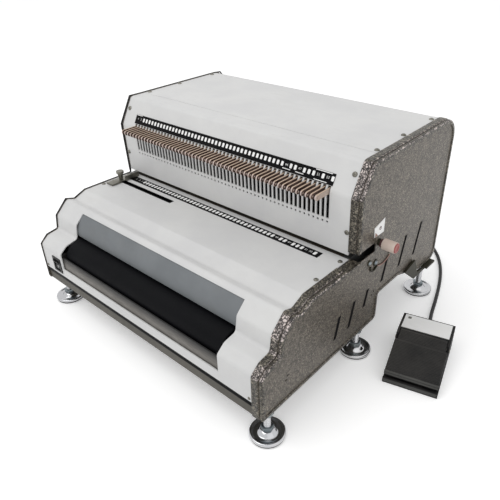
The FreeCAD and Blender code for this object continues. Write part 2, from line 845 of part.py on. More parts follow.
def ram_beam():
    blank = box("RamBlank",
                ("-1 * ram_half", "ram_front_y", "ram_low_z"),
                ("ram_half", "ram_rear_y", "ram_top_z"))
    ears = [rod("RamEar%d" % number, "x", "rod_pin_radius", (start, "rod_pin_y", "rod_pin_z"), "5.1")
            for number, start in enumerate(("ram_half - 1", "-1 * ram_half - 4.1"))]
    whole = joined("RamWhole", [blank] + ears)
    bores = pin_holes("RamBore", "pin_radius + run_gap", "ram_low_z - 1", "10")
    heads = pin_holes("RamHead", "pin_radius + pin_head_proud + 0.1", "pin_seat_z", "5")
    slots = [box("RamSlot%d" % index,
                 (pin_x(index) + " - lever_thick / 2 - 0.1", "ram_front_y - 1", "lever_low_z - side_gap"),
                 (pin_x(index) + " + lever_thick / 2 + 0.1", "ram_rear_y - 1.5", "ram_top_z + 1"))
             for index in PIN_ROW]
    posts = [rod("RamPostHole%d" % number, "z", "post_radius + run_gap",
                 (place, "ram_front_y + 9", "ram_low_z - 1"), "30")
             for number, place in enumerate(POST_PLACES)]
    stage = cut("RamStage0", whole, bores)
    stage = cut("RamStage1", stage, heads)
    stage = cut("RamStage2", stage, slots)
    return keep("ram_beam", cut("RamBeam", stage, posts))


def punch_pins():
    tip_z = "throat_z + 1.5"
    pins = []
    for index in PIN_ROW:
        place = (pin_x(index), "pin_row_y")
        shank = rod("PinShank%d" % index, "z", "pin_radius", place + (tip_z,), "pin_seat_z - (%s)" % tip_z)
        head = rod("PinHead%d" % index, "z", "pin_radius + pin_head_proud",
                   place + ("pin_seat_z",), "pin_head_tall")
        pins.append(joined("Pin%d" % index, [shank, head]))
    return keep("punch_pins", group("PunchPins", pins))


def lever(index):
    low_x = pin_x(index) + " - lever_thick / 2"
    high_x = pin_x(index) + " + lever_thick / 2"
    nose_y = "lever_tip_y + lever_tall / 2"
    bar = box("LeverBar%d" % index,
              (low_x, nose_y, "lever_low_z"),
              (high_x, "ram_rear_y - 2.5", "lever_low_z + lever_tall"))
    nose = rod("LeverNose%d" % index, "x", "lever_tall / 2", (low_x, nose_y, "lever_z"), "lever_thick")
    eye = rod("LeverEye%d" % index, "x", "lever_eye_radius", (low_x, nose_y, "lever_z"), "lever_thick")
    return cut("Lever%d" % index, joined("LeverWhole%d" % index, [bar, nose]), [eye])


def selector_banks():
    count = int(size("bank_count"))
    for number in range(count):
        first, last = number * len(PIN_ROW) // count, (number + 1) * len(PIN_ROW) // count
        levers = [lever(index) for index in PIN_ROW[first:last]]
        keep("selector_bank_%d" % (number + 1), group("SelectorBank%d" % (number + 1), levers))


# Crank drive

def crank_rods():
    # The rod runs from the ram pin to the crank pin at the top of its throw
    thick = size("rod_thick")
    start = Vector(size("ram_half") + 0.8, size("rod_pin_y"), size("rod_pin_z"))
    away = Vector(start.x, size("shaft_y"), size("shaft_z")) - start
    along = away * (1 / away.Length)
    end = start + along * (away.Length - size("crank_throw"))
    half = Vector(0, -along.z, along.y) * size("rod_half_wide")
    corners = [start + half, end + half, end - half, start - half]
    way = Vector(1, 0, 0)
    bar = Part.Face(Part.makePolygon(corners + corners[:1])).extrude(way * thick)
    eye_radius = size("rod_pin_radius") + 4.0
    bar = bar.fuse([Part.makeCylinder(eye_radius, thick, place, way) for place in (start, end)])
    bar = bar.removeSplitter()
    for place in (start, end):
        hole = Part.makeCylinder(size("rod_pin_radius") + size("run_gap"), thick + 2, place - way, way)
        bar = bar.cut(hole)
    right = feature("RodRight", bar)
    return keep("crank_rods", group("CrankRods", [right, mirrored("RodLeft", right)]))


def drive_shaft():
    middle = ("shaft_y", "shaft_z")
    core = rod("DriveCore", "x", "shaft_radius", ("1 - ram_half",) + middle, "2 * ram_half - 2")
    discs = [rod("CrankDisc%d" % number, "x", "crank_disc", (start,) + middle, "3.9")
             for number, start in enumerate(("ram_half - 3.5", "-1 * ram_half - 0.4"))]
    return keep("drive_shaft", joined("DriveShaft", [core] + discs))


def shaft_bearings():
    low_x, high_x = "ram_half - 18", "ram_half - 8"
    back_y = "shaft_y + 15"
    head = box("BearingHead",
               (low_x, "shaft_y - shaft_radius - 4.5", "shaft_z - 14"),
               (high_x, back_y, "shaft_z + shaft_radius + 6"))
    leg = box("BearingLeg",
              (low_x, "heel_y + 6", "belly_z + sheet_wall"),
              (high_x, back_y, "shaft_z - 10"))
    bore = rod("BearingBore", "x", "shaft_radius + run_gap", (low_x + " - 1", "shaft_y", "shaft_z"), "12")
    right = cut("BearingRight", joined("BearingWhole", [head, leg]), [bore])
    return keep("shaft_bearings", group("ShaftBearings", [right, mirrored("BearingLeft", right)]))


def gear_solid(teeth, place, turn, bore=0.0):
    # Teeth with slanted flanks, thinner than their gaps so that a pair runs free
    module = size("gear_module")
    wide = size("gear_wide")
    pitch_radius = module * teeth / 2
    root, tip = pitch_radius - 1.25 * module, pitch_radius + 0.85 * module
    levels = [(root, 0.30), (pitch_radius, 0.215), (tip, 0.11)]
    step = 2 * math.pi / teeth
    points = []
    for tooth in range(teeth):
        middle = turn + tooth * step
        points += [(radius, middle - share * step) for radius, share in levels]
        points += [(radius, middle + share * step) for radius, share in reversed(levels)]
    corners = [place + Vector(0, radius * math.cos(angle), radius * math.sin(angle))
               for radius, angle in points]
    blank = Part.Face(Part.makePolygon(corners + corners[:1])).extrude(Vector(wide, 0, 0))
    if bore <= 0:
        return blank
    return blank.cut(Part.makeCylinder(bore, wide + 2, place - Vector(1, 0, 0), Vector(1, 0, 0)))


def drive_gear():
    place = Vector(size("gear_x"), size("shaft_y"), size("shaft_z"))
    wheel = gear_solid(int(size("gear_teeth")), place, 0.0, size("shaft_radius") + 0.02)
    return keep("drive_gear", feature("DriveGear", wheel))


def motor_pinion():
    teeth = int(size("pinion_teeth"))
    place = Vector(size("gear_x"), size("pinion_y"), size("shaft_z"))
    wheel = gear_solid(teeth, place, math.pi + math.pi / teeth)
    stub = Part.makeCylinder(size("stub_radius"), 14.0, place - Vector(12.0, 0, 0), Vector(1, 0, 0))
    return keep("motor_pinion", feature("MotorPinion", wheel.fuse(stub).removeSplitter()))


def punch_motor():
    can_y, can_z = "shaft_y + 68", "shaft_z - 3"
    case = box("GearCase",
               ("gear_x - 40", "shaft_y + shaft_radius + 7", "shaft_z - 35"),
               ("gear_x - 5", "shaft_y + 105", "shaft_z + 25"))
    can = rod("MotorCan", "x", "punch_motor_radius",
              ("gear_x - punch_motor_long - 39", can_y, can_z), "punch_motor_long")
    cap = rod("MotorCap", "x", "punch_motor_radius - 10",
              ("gear_x - punch_motor_long - 45", can_y, can_z), "8")
    leg = box("MotorLeg",
              ("gear_x - 38", "heel_y + 21", "belly_z + sheet_wall"),
              ("gear_x - 7", "heel_y + 46", "shaft_z - 30"))
    bore = rod("MotorBore", "x", "stub_radius + run_gap", ("gear_x - 14", "pinion_y", "shaft_z"), "20")
    return keep("punch_motor", cut("PunchMotor", joined("PunchMotorWhole", [case, can, cap, leg]), [bore]))


# Depth stop

def depth_stop_shaft():
    drum = rod("StopDrum", "x", "drum_radius",
               ("1.5 - ram_half", "depth_y - drum_offset", "depth_z"), "2 * ram_half - 3")
    journal = rod("StopJournal", "x", "journal_radius",
                  ("-1 * cover_half - 1", "depth_y", "depth_z"), "2 * cover_half + cheek_depth + 3")
    return keep("depth_stop_shaft", joined("DepthStopShaft", [drum, journal]))


def depth_knob():
    start = "cheek_x + 2"
    collar = rod("KnobCollar", "x", "collar_radius", (start, "depth_y", "depth_z"), "collar_long")
    grip_start = (start + " + collar_long - 0.5", "depth_y", "depth_z")
    grip = rod("KnobGrip", "x", "knob_radius", grip_start, "knob_out - collar_long + 0.5")
    whole = joined("KnobWhole", [collar, grip])
    return keep("depth_knob", rounded("DepthKnob", whole, [(outer_ring_edge("knob_radius"), 0.6)]))


def depth_tag():
    points = [
        ("depth_y - 13", "deck_z + 19"),
        ("depth_y + 6.9", "deck_z + 18.6"),
        ("depth_y + 6.9", "deck_z + 36.4"),
        ("depth_y - 14.7", "deck_z + 31.4"),
    ]
    return keep("depth_tag", prism("DepthTag", points, "cheek_x - face_recess", "tag_thick"))


# Edge guide on the deck

def edge_guide():
    low_z = "deck_z + 0.8"
    plate = box("GuidePlate",
                ("guide_slot_left - 1.8", "guide_slot_y - 21", low_z),
                ("guide_slot_left + 12.5", "knee_y - 1", low_z + " + guide_plate_thick"))
    fence = box("GuideFence",
                ("guide_slot_left + 11", "guide_slot_y + 3", low_z),
                ("guide_slot_left + 12.5", "knee_y - 1", low_z + " + 7"))
    whole = joined("GuideWhole", [plate, fence])
    hole_start = ("clamp_x", "guide_slot_y", "deck_z - 2")
    hole = rod("GuideHole", "z", "clamp_screw_radius + 0.1", hole_start, "8")
    return keep("edge_guide", cut("EdgeGuide", whole, [hole]))


def guide_clamp_knob():
    place = ("clamp_x", "guide_slot_y")
    screw = rod("ClampScrew", "z", "clamp_screw_radius", place + ("deck_z - 5.5",), "11")
    neck_z = "deck_z + guide_plate_thick + 1.1"
    neck = cone("ClampNeck", "z", "clamp_neck_radius", "clamp_neck_radius + 1.5",
                place + (neck_z,), "clamp_neck_tall")
    cap_place = place + (neck_z + " + clamp_neck_tall",)
    cap = rod("ClampCap", "z", "clamp_cap_radius", cap_place, "clamp_cap_tall")
    nut = rod("ClampNut", "z", "guide_slot_wide / 2 + 1.6", place + ("deck_z - 5",), "2.6")
    return keep("guide_clamp_knob", joined("GuideClampKnob", [screw, neck, cap, nut]))


# Scales, switch and rear fittings

def hole_scales():
    deck = box("DeckScale",
               ("18.4 - cover_half", "deck_rear_y - 19.9", "deck_z"),
               ("cover_half - 29", "deck_rear_y - 8.5", "deck_z + scale_thick"))
    run_y, run_z = "(brow_y - knee_y)", "(brow_z - knee_z)"
    lift = "scale_thick / sqrt(%s * %s + %s * %s)" % (run_y, run_y, run_z, run_z)
    points = []
    for share, proud in ((0.15, "0"), (0.15, lift), (0.47, lift), (0.47, "0")):
        points.append(("knee_y + %s * %s - %s * %s" % (share, run_y, proud, run_z),
                       "knee_z + %s * %s + %s * %s" % (share, run_z, proud, run_y)))
    tower = prism("TowerScale", points, "25 - cover_half", "2 * cover_half - 51")
    return keep("hole_scales", group("HoleScales", [deck, tower]))


def switch_bezel():
    parts = []
    for name, low_y, high_y, extra in (("Frame", "-1.2", "0", 1.5), ("Body", "-0.5", "17", -0.1),
                                       ("Well", "-3", "15.5", -1.0)):
        half_wide, half_tall = "(switch_wide / 2 + %s)" % extra, "(switch_tall / 2 + %s)" % extra
        parts.append(box("Bezel" + name,
                         ("switch_x - " + half_wide, low_y, "switch_z - " + half_tall),
                         ("switch_x + " + half_wide, high_y, "switch_z + " + half_tall)))
    frame, body, well = parts
    return keep("switch_bezel", cut("SwitchBezel", joined("BezelWhole", [frame, body]), [well]))


def switch_rocker():
    points = [
        ("-0.5", "switch_z - 6.4"),
        ("6", "switch_z - 5.8"),
        ("9", "switch_z"),
        ("6", "switch_z + 5.8"),
        ("-3.3", "switch_z + 6.2"),
        ("0.3", "switch_z"),
    ]
    return keep("switch_rocker", prism("SwitchRocker", points, "switch_x - switch_wide / 2 + 1.3",
                                       "switch_wide - 2.6"))


INLET_BLADES = ((-7, -1), (0, 2), (7, -1))


def power_inlet():
    flange = box("InletFlange",
                 ("inlet_x - inlet_half_wide - 2", "rear_y", "inlet_z - inlet_half_tall - 2"),
                 ("inlet_x + inlet_half_wide + 2", "rear_y + 2.5", "inlet_z + inlet_half_tall + 2"))
    body = box("InletBody",
               ("inlet_x - inlet_half_wide", "rear_y - 24", "inlet_z - inlet_half_tall"),
               ("inlet_x + inlet_half_wide", "rear_y + 1", "inlet_z + inlet_half_tall"))
    well = box("InletWell",
               ("inlet_x - 12", "rear_y - 18", "inlet_z - 8"),
               ("inlet_x + 12", "rear_y + 5", "inlet_z + 8"))
    shell = cut("InletShell", joined("InletWhole", [flange, body]), [well])
    blades = []
    for number, (across, up) in enumerate(INLET_BLADES):
        middle_x, middle_z = "inlet_x + %s" % across, "inlet_z + %s" % up
        blades.append(box("InletBlade%d" % number,
                          (middle_x + " - 1", "rear_y - 19", middle_z + " - 2.5"),
                          (middle_x + " + 1", "rear_y - 3", middle_z + " + 2.5")))
    return keep("power_inlet", joined("PowerInlet", [shell] + blades))


def cord_gland():
    neck = rod("GlandNeck", "y", "gland_radius - 0.1", ("gland_x", "rear_y - 8", "gland_z"), "9")
    nut = rod("GlandNut", "y", "gland_radius + 3", ("gland_x", "rear_y", "gland_z"), "6")
    dome = cone("GlandDome", "y", "gland_radius + 1", "4.2", ("gland_x", "rear_y + 5", "gland_z"), "11")
    return keep("cord_gland", joined("CordGland", [neck, nut, dome]))


TIE_BARS = (("150", "78"), ("300", "86"), ("335", "238"))


def tie_bars():
    bars = [rod("TieBar%d" % number, "x", "tie_bar_radius",
                ("-1 * inner_half", place_y, place_z), "2 * inner_half")
            for number, (place_y, place_z) in enumerate(TIE_BARS)]
    return keep("tie_bars", group("TieBars", bars))


# Screws, feet and drawer

def cover_screws():
    # On each side three on the top, two on the deck, two at the rear and one on the lip
    slope = "(top_z - brow_z) / (rear_y - brow_y)"
    screws = []
    for side, turn in (("Right", "1"), ("Left", "-1")):
        place_x = turn + " * screw_x"
        for number, place_y in enumerate(("tower_lap_y + 7", "tower_lap_y + 65", "rear_y - 36")):
            low_z = "brow_z + 0.03 + (%s - brow_y) * %s" % (place_y, slope)
            name = "%sTopScrew%d" % (side, number)
            screws.append(rod(name, "z", "screw_radius", (place_x, place_y, low_z), "screw_tall"))
        for number, place_y in enumerate(("deck_rear_y - 10.4", "deck_rear_y - 55.2")):
            name = "%sDeckScrew%d" % (side, number)
            place = (place_x, place_y, "deck_z")
            screws.append(rod(name, "z", "deck_screw_radius", place, "deck_screw_tall"))
        for number, place_z in enumerate(("rump_z + 60", "rear_lap_z - 26")):
            name = "%sRearScrew%d" % (side, number)
            screws.append(rod(name, "y", "screw_radius", (place_x, "rear_y", place_z), "screw_tall"))
        lip_place = (turn + " * (screw_x + 0.6)", "-1", "lip_low_z + 4")
        screws.append(rod(side + "LipScrew", "y", "lip_screw_radius", lip_place, "1"))
    return keep("cover_screws", group("CoverScrews", screws))


# Each foot's place, the height of the face that its lock nut meets, and the stud's rise above it

FEET = [
    ("foot_right_x", "foot_front_y", "sill_z - rim_proud", "7"),
    ("foot_right_x", "foot_middle_y", "sill_z - rim_proud", "7"),
    ("foot_right_x", "foot_rear_y", "skirt_z - rim_proud - tab_thick", "tab_thick"),
    ("foot_left_x", "foot_front_y", "sill_z - rim_proud - tab_thick", "tab_thick"),
    ("foot_left_x", "foot_middle_y", "sill_z - rim_proud - tab_thick", "tab_thick"),
    ("foot_left_x", "foot_rear_y", "skirt_z - rim_proud - tab_thick", "tab_thick"),
]


def levelling_feet():
    for number, (place_x, place_y, seat_z, rise) in enumerate(FEET, 1):
        tag = "Foot%d" % number
        place = (place_x, place_y)
        pad = rod(tag + "Pad", "z", "foot_radius - 0.6", place + ("0",), "pad_tall")
        disc = rod(tag + "Disc", "z", "foot_radius", place + ("pad_tall",), "disc_tall")
        dome = cone(tag + "Dome", "z", "11", "6", place + ("disc_top_z",), "dome_tall")
        stud = rod(tag + "Stud", "z", "stud_radius", place + ("disc_top_z + 2.4",),
                   "(%s) + %s - disc_top_z - 2.4" % (seat_z, rise))
        top = joined(tag + "Top", [disc, dome, stud])
        nut = hexagon(tag + "Nut", place, "nut_radius", "(%s) - nut_tall" % seat_z, "nut_tall")
        keep("levelling_foot_%d" % number, group(tag, [pad, top, nut]))


def hexagon(name, place, radius, low_z, height):
    blank = doc.addObject("Part::Prism", name + "Blank")
    blank.Polygon = 6
    bind(blank, "Circumradius", radius)
    bind(blank, "Height", height)
    for way, text in zip("xyz", place + (low_z,)):
        bind(blank, "Placement.Base." + way, text)
    hole = rod(name + "Bore", "z", "stud_radius + run_gap", place + (low_z,), height)
    return cut(name, blank, [hole])


def rear_gusset(seat_z, top_z):
    start_x = "cheek_x + 0.1"
    points = [
        ("foot_rear_y - 75", "skirt_z + 21.5"),
        ("foot_rear_y - 45", seat_z),
        ("foot_rear_y - 14", seat_z),
        ("foot_rear_y - 14", top_z),
        ("foot_rear_y - 36", "skirt_z + 2.5"),
        ("foot_rear_y - 48", "skirt_z + 27.5"),
    ]
    strip = box("GussetFoot",
                (start_x, "foot_rear_y - 20", seat_z),
                (start_x + " + tab_thick", "foot_rear_y + tab_half", top_z))
    return [prism("FootGusset", points, start_x, "tab_thick"), strip]


def foot_brackets():
    # Only the four feet that have no side panel above them stand under a bracket
    plates = []
    for number, (place_x, place_y, seat_z, _) in enumerate(FEET[2:]):
        on_right = number == 0
        top_z = "(%s) + tab_thick" % seat_z
        low_x, high_x = ("cover_half - 8", "cheek_x + 6") if on_right else ("left_x", "28 - cover_half")
        tab = box("FootTab%d" % number,
                  (low_x, place_y + " - tab_half", seat_z),
                  (high_x, place_y + " + tab_half", top_z))
        if on_right:
            tab = joined("RearBracketWhole", [tab] + rear_gusset(seat_z, top_z))
        elif place_y != "foot_rear_y":
            block = box("FootBlock%d" % number,
                        ("-1 * cover_half", place_y + " - tab_half", top_z),
                        ("-1 * inner_half", place_y + " + tab_half", "ledge_z"))
            tab = joined("FootTabWhole%d" % number, [tab, block])
        hole = rod("FootTabHole%d" % number, "z", "stud_radius + run_gap",
                   (place_x, place_y, "(%s) - 1" % seat_z), "tab_thick + 2")
        plates.append(cut("FootBracket%d" % number, tab, [hole]))
    return keep("foot_brackets", group("FootBrackets", plates))


def chip_drawer():
    half = "inner_half - 0.6"
    low_z = "ledge_z + 1.7"
    tub = box("DrawerTub", ("-1 * (%s)" % half, "3", low_z), (half, "heel_y - 12", "shelf_z - 1.2"))
    front = box("DrawerFront",
                ("0.6 - cover_half", "1.2", "sill_z + 0.3"),
                ("cover_half - 0.6", "3.4", "shelf_z - 1.6"))
    hollow = box("DrawerHollow",
                 ("drawer_wall - (%s)" % half, "3.4 + drawer_wall", low_z + " + drawer_wall"),
                 ("%s - drawer_wall" % half, "heel_y - 12 - drawer_wall", "shelf_z + 5"))
    return keep("chip_drawer", cut("ChipDrawer", joined("DrawerWhole", [tub, front]), [hollow]))


# Foot pedal, drawn with its front left corner at the origin and turned at the end

pedal_pieces = {}


def keep_pedal(name, item):
    pedal_pieces[name] = item
    return keep(name, item)


def pedal_base():
    side = [
        ("0", "0"),
        ("pedal_long", "0"),
        ("pedal_long", "pedal_tall - 2"),
        ("pedal_long - 2", "pedal_tall"),
        ("hood_y", "pedal_tall"),
        ("hood_y - 8", "pedal_tall - 2"),
        ("hood_y - 14", "13"),
        ("4", "5.2"),
        ("2.6", "5.2"),
        ("2.4", "7"),
        ("0", "7"),
    ]
    block = prism("PedalBlock", side, "0", "pedal_wide")
    right_x = "pedal_wide - pedal_wall"
    bay = box("PedalBay", ("pedal_wall", "2.4", "4"), (right_x, "hood_y", "pedal_tall + 5"))
    pocket = box("PedalPocket",
                 ("pedal_wall", "hood_y - 1", "4"),
                 (right_x, "pedal_long - pedal_wall", "pedal_tall - pedal_wall"))
    bore = rod("PedalPinBore", "x", "pedal_pin_radius + run_gap",
               ("-1", "pedal_pin_y", "pedal_pin_z"), "pedal_wide + 2")
    way_in = rod("PedalCordHole", "y", "cord_radius + 0.1",
                 ("pedal_wide / 2", "pedal_long - 5", "10"), "10")
    stage = cut("PedalStage0", block, [bay])
    stage = cut("PedalStage1", stage, [pocket])
    return keep_pedal("pedal_base", cut("PedalShell", stage, [bore, way_in]))


def pedal_treadle():
    side = [
        ("2.8", "9.8"),
        ("5.4", "9.8"),
        ("6", "11.6"),
        ("20", "13.5"),
        ("hood_y - 14", "20"),
        ("hood_y - 9", "22.2"),
        ("hood_y - 2.6", "24.5"),
        ("hood_y - 2.6", "33"),
        ("hood_y - 12", "32"),
        ("3.2", "15"),
    ]
    inner = prism("TreadleInner", side, "pedal_wall + 0.4", "pedal_wide - 2 * pedal_wall - 0.8")
    tread = [
        ("2.8", "11.2"),
        ("20", "13.5"),
        ("hood_y - 15.5", "19.7"),
        ("hood_y - 15.5", "30.7"),
        ("3.2", "15"),
    ]
    plate = prism("TreadlePlate", tread, "0.6", "pedal_wide - 1.2")
    block = joined("TreadleBlock", [inner, plate])
    bore = rod("TreadleBore", "x", "pedal_pin_radius + run_gap",
               ("0", "pedal_pin_y", "pedal_pin_z"), "pedal_wide")
    return keep_pedal("pedal_treadle", cut("PedalTreadle", block, [bore]))


def pedal_pivot_pin():
    pin = rod("PedalPin", "x", "pedal_pin_radius",
              ("-0.8", "pedal_pin_y", "pedal_pin_z"), "pedal_wide + 1.6")
    return keep_pedal("pedal_pivot_pin", pin)


def pedal_label_plate():
    plate = box("PedalLabel",
                ("pedal_wall", "hood_y + 2", "pedal_tall"),
                ("pedal_wide - pedal_wall", "pedal_long - 4", "pedal_tall + label_thick"))
    return keep_pedal("pedal_label_plate", plate)


# Pedal cord

def pedal_point(across, back, height):
    turn = math.radians(size("pedal_turn"))
    return Vector(size("pedal_x") + across * math.cos(turn) - back * math.sin(turn),
                  size("pedal_y") + across * math.sin(turn) + back * math.cos(turn), height)


FLOOR_Z = size("cord_radius") + 0.1
COIL_MIDDLE = Vector(size("coil_x"), size("coil_y"), 0)
CORD_ENTRY_Z = 10.0
TURNS_IN = 3.25
TURNS_OUT = 3.0
STATIONS_A_TURN = 4


def tail_points():
    # Out of the gland, down the back of the machine and along the floor to the coil
    x, y, z = size("gland_x"), size("rear_y"), size("gland_z")
    return [Vector(x, y + 16, z), Vector(x, y + 31, z), Vector(x, y + 44.9, z - 8),
            Vector(x, y + 52.9, z - 21.9), Vector(x, y + 53.4, z - 46), Vector(x, y + 61, z - 61),
            Vector(x, y + 75, FLOOR_Z), Vector(x, size("coil_y"), FLOOR_Z)]


def run_points():
    # Off the top of the coil, down to the floor and round the right side to the pedal
    coil, pedal_x = COIL_MIDDLE, size("pedal_x")
    leave = coil_station(TURNS_IN + TURNS_OUT)
    middle, back = size("pedal_wide") / 2, size("pedal_long")
    return [leave, leave + Vector(12, 0, 0), coil + Vector(30, 33.3, 5),
            coil + Vector(50, 28.2, FLOOR_Z), coil + Vector(68, 18.5, FLOOR_Z),
            Vector(pedal_x - 82.7, coil.y + 5, FLOOR_Z),
            Vector(pedal_x - 65.5, coil.y - 15, FLOOR_Z), Vector(pedal_x - 48.5, coil.y - 44, FLOOR_Z),
            Vector(pedal_x - 33.5, coil.y - 80, FLOOR_Z), Vector(pedal_x - 20, 344, FLOOR_Z),
            Vector(pedal_x - 8.7, 304, FLOOR_Z + 1.5),
            pedal_point(middle, back + 16, CORD_ENTRY_Z), pedal_point(middle, back, CORD_ENTRY_Z)]


def smooth_path(points):
    # Straight runs joined by tangent arcs, each as large as its two runs allow
    edges = []
    radii = []
    last = points[0]
    for before, here, after in zip(points, points[1:], points[2:]):
        inward, outward = here - before, after - here
        turn = inward.getAngle(outward)
        reach = 0.45 * min(inward.Length, outward.Length)
        radii.append(reach / math.tan(turn / 2))
        start = here - inward.normalize() * reach
        end = here + outward.normalize() * reach
        middle = (start + end) * 0.5
        bulge = (here - middle).normalize()
        radius = radii[-1]
        sagitta = radius * (1 - math.cos(turn / 2))
        edges.append(Part.LineSegment(last, start).toShape())
        edges.append(Part.Arc(start, middle + bulge * sagitta, end).toShape())
        last = end
    edges.append(Part.LineSegment(last, points[-1]).toShape())
    return Part.Wire(edges), radii


def tube_on(wire, start, direction):
    circle = Part.Wire(Part.Circle(start, direction, size("cord_radius")).toShape())
    return wire.makePipeShell([circle], True, False)


def cord_stretch(name, node, points):
    wire, radii = smooth_path(points)
    tube = tube_on(wire, points[0], points[1] - points[0])
    expected = math.pi * size("cord_radius") ** 2 * wire.Length
    print(node, "length", round(wire.Length, 1), "radii", [round(radius, 1) for radius in radii])
    print(node, "volume ratio", round(tube.Volume / expected, 4))
    return keep(node, feature(name, tube))


def coil_station(turns):
    # Inward on the floor layer, a climb in half a turn, then outward on the upper layer
    pitch = size("coil_pitch")
    radius = size("coil_inner") + abs(turns - TURNS_IN) * pitch
    share = min(max((turns - TURNS_IN) / 0.5 + 0.5, 0.0), 1.0)
    layer = share * share * (3 - 2 * share)
    angle = math.pi - 2 * math.pi * turns
    height = FLOOR_Z + layer * pitch
    return COIL_MIDDLE + Vector(radius * math.cos(angle), radius * math.sin(angle), height)


def coil_heading(turns, total):
    low, high = max(turns - 0.002, 0.0), min(turns + 0.002, total)
    if turns in (0.0, total):
        angle = math.pi - 2 * math.pi * turns
        return Vector(math.sin(angle), -math.cos(angle), 0)
    return (coil_station(high) - coil_station(low)).normalize()


def biarc(start, start_way, end, end_way):
    chord = end - start
    ways = start_way + end_way
    spread = 2 * (1 - start_way.dot(end_way))
    reach = (-chord.dot(ways) + math.sqrt(chord.dot(ways) ** 2 + spread * chord.dot(chord))) / spread
    near, far = start + start_way * reach, end - end_way * reach
    middle = (near + far) * 0.5
    return [tangent_arc(start, start_way, middle), tangent_arc(middle, (far - near).normalize(), end)]


def tangent_arc(start, way, end):
    chord = end - start
    side = chord - way * chord.dot(way)
    radius = chord.dot(chord) / (2 * side.Length)
    centre = start + side.normalize() * radius
    halfway = ((start - centre) + (end - centre)).normalize() * radius
    return Part.Arc(start, centre + halfway, end).toShape()


def pedal_cord_coil():
    total = TURNS_IN + TURNS_OUT
    steps = round(total * STATIONS_A_TURN)
    stations = [total * step / steps for step in range(steps + 1)]
    marks = [(coil_station(turns), coil_heading(turns, total)) for turns in stations]
    edges = []
    for before, after in zip(marks, marks[1:]):
        edges += biarc(*before, *after)
    wire = Part.Wire(edges)
    tube = tube_on(wire, *marks[0])
    expected = math.pi * size("cord_radius") ** 2 * wire.Length
    print("pedal_cord_coil length", round(wire.Length, 1))
    print("pedal_cord_coil volume ratio", round(tube.Volume / expected, 4))
    print("pedal_cord_coil least gap to itself", round(least_self_gap(edges), 3))
    return keep("pedal_cord_coil", feature("PedalCordCoil", tube))


def least_self_gap(edges):
    points = []
    travelled = []
    length = 0.0
    for edge in edges:
        for point in edge.discretize(9)[:-1]:
            if points:
                length += (point - points[-1]).Length
            points.append(point)
            travelled.append(length)
    diameter = 2 * size("cord_radius")
    least = 1000.0
    for first in range(len(points)):
        for second in range(first + 1, len(points)):
            if travelled[second] - travelled[first] > 4 * diameter:
                least = min(least, (points[second] - points[first]).Length - diameter)
    return least


# Build every piece

front_cover()
tower_front()
tower_top()
rear_cover()
base_pan()
frame_plates()
right_side_panel()
left_side_panel()
backing_panel()
roller_tray()
inserter_roller()
roller_shaft()
roller_pulley()
motor_pulley()
inserter_motor()
drive_belt()
die_plate()
stripper_plate()
guide_posts()
ram_beam()
punch_pins()
selector_banks()
crank_rods()
drive_shaft()
shaft_bearings()
drive_gear()
motor_pinion()
punch_motor()
depth_stop_shaft()
depth_knob()
depth_tag()
edge_guide()
guide_clamp_knob()
hole_scales()
switch_bezel()
switch_rocker()
power_inlet()
cord_gland()
tie_bars()
cover_screws()
levelling_feet()
foot_brackets()
chip_drawer()
pedal_base()
pedal_treadle()
pedal_pivot_pin()
pedal_label_plate()
cord_stretch("PedalCordTail", "pedal_cord_tail", tail_points())
pedal_cord_coil()
cord_stretch("PedalCordRun", "pedal_cord_run", run_points())
doc.recompute()


# Check, move to the shared origin and write

def check_pieces():
    for item in doc.Objects:
        if "Invalid" in item.State or "Error" in item.State:
            raise RuntimeError("%s is in state %s" % (item.Name, item.State))
    for name, item in pieces.items():
        if item.Shape.isNull() or not item.Shape.isValid():
            raise RuntimeError("%s has no valid shape" % name)


def set_origin():
    # The pedal is turned first, then the middle of the box goes to the origin
    turn = size("pedal_turn")
    for item in pedal_pieces.values():
        corner = item.Placement.Base
        rotation = Rotation(Vector(0, 0, 1), turn)
        moved = rotation.multVec(corner) + Vector(size("pedal_x"), size("pedal_y"), 0)
        item.setExpression("Placement.Base.x", None)
        item.setExpression("Placement.Base.y", None)
        item.setExpression("Placement.Base.z", None)
        item.Placement = Placement(moved, rotation.multiply(item.Placement.Rotation))
    doc.recompute()
    total = FreeCAD.BoundBox()
    for name, item in pieces.items():
        if not name.startswith("pedal_cord"):
            total.add(item.Shape.BoundBox)
    shift = Vector(-total.Center.x, -total.Center.y, -total.ZMin)
    print("shift to the shared origin", [round(amount, 4) for amount in shift])
    print("size of the whole", round(total.XLength, 2), round(total.YLength, 2), round(total.ZLength, 2))
    return shift


def write_pieces(shift):
    for name, item in pieces.items():
        shape = item.Shape.copy()
        shape.translate(shift)
        shape.exportStep("parts/%s.step" % name)


check_pieces()
write_pieces(set_origin())
print("pieces written", len(pieces))
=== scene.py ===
import json
import math
import bmesh
import bpy
from mathutils import Matrix, Vector


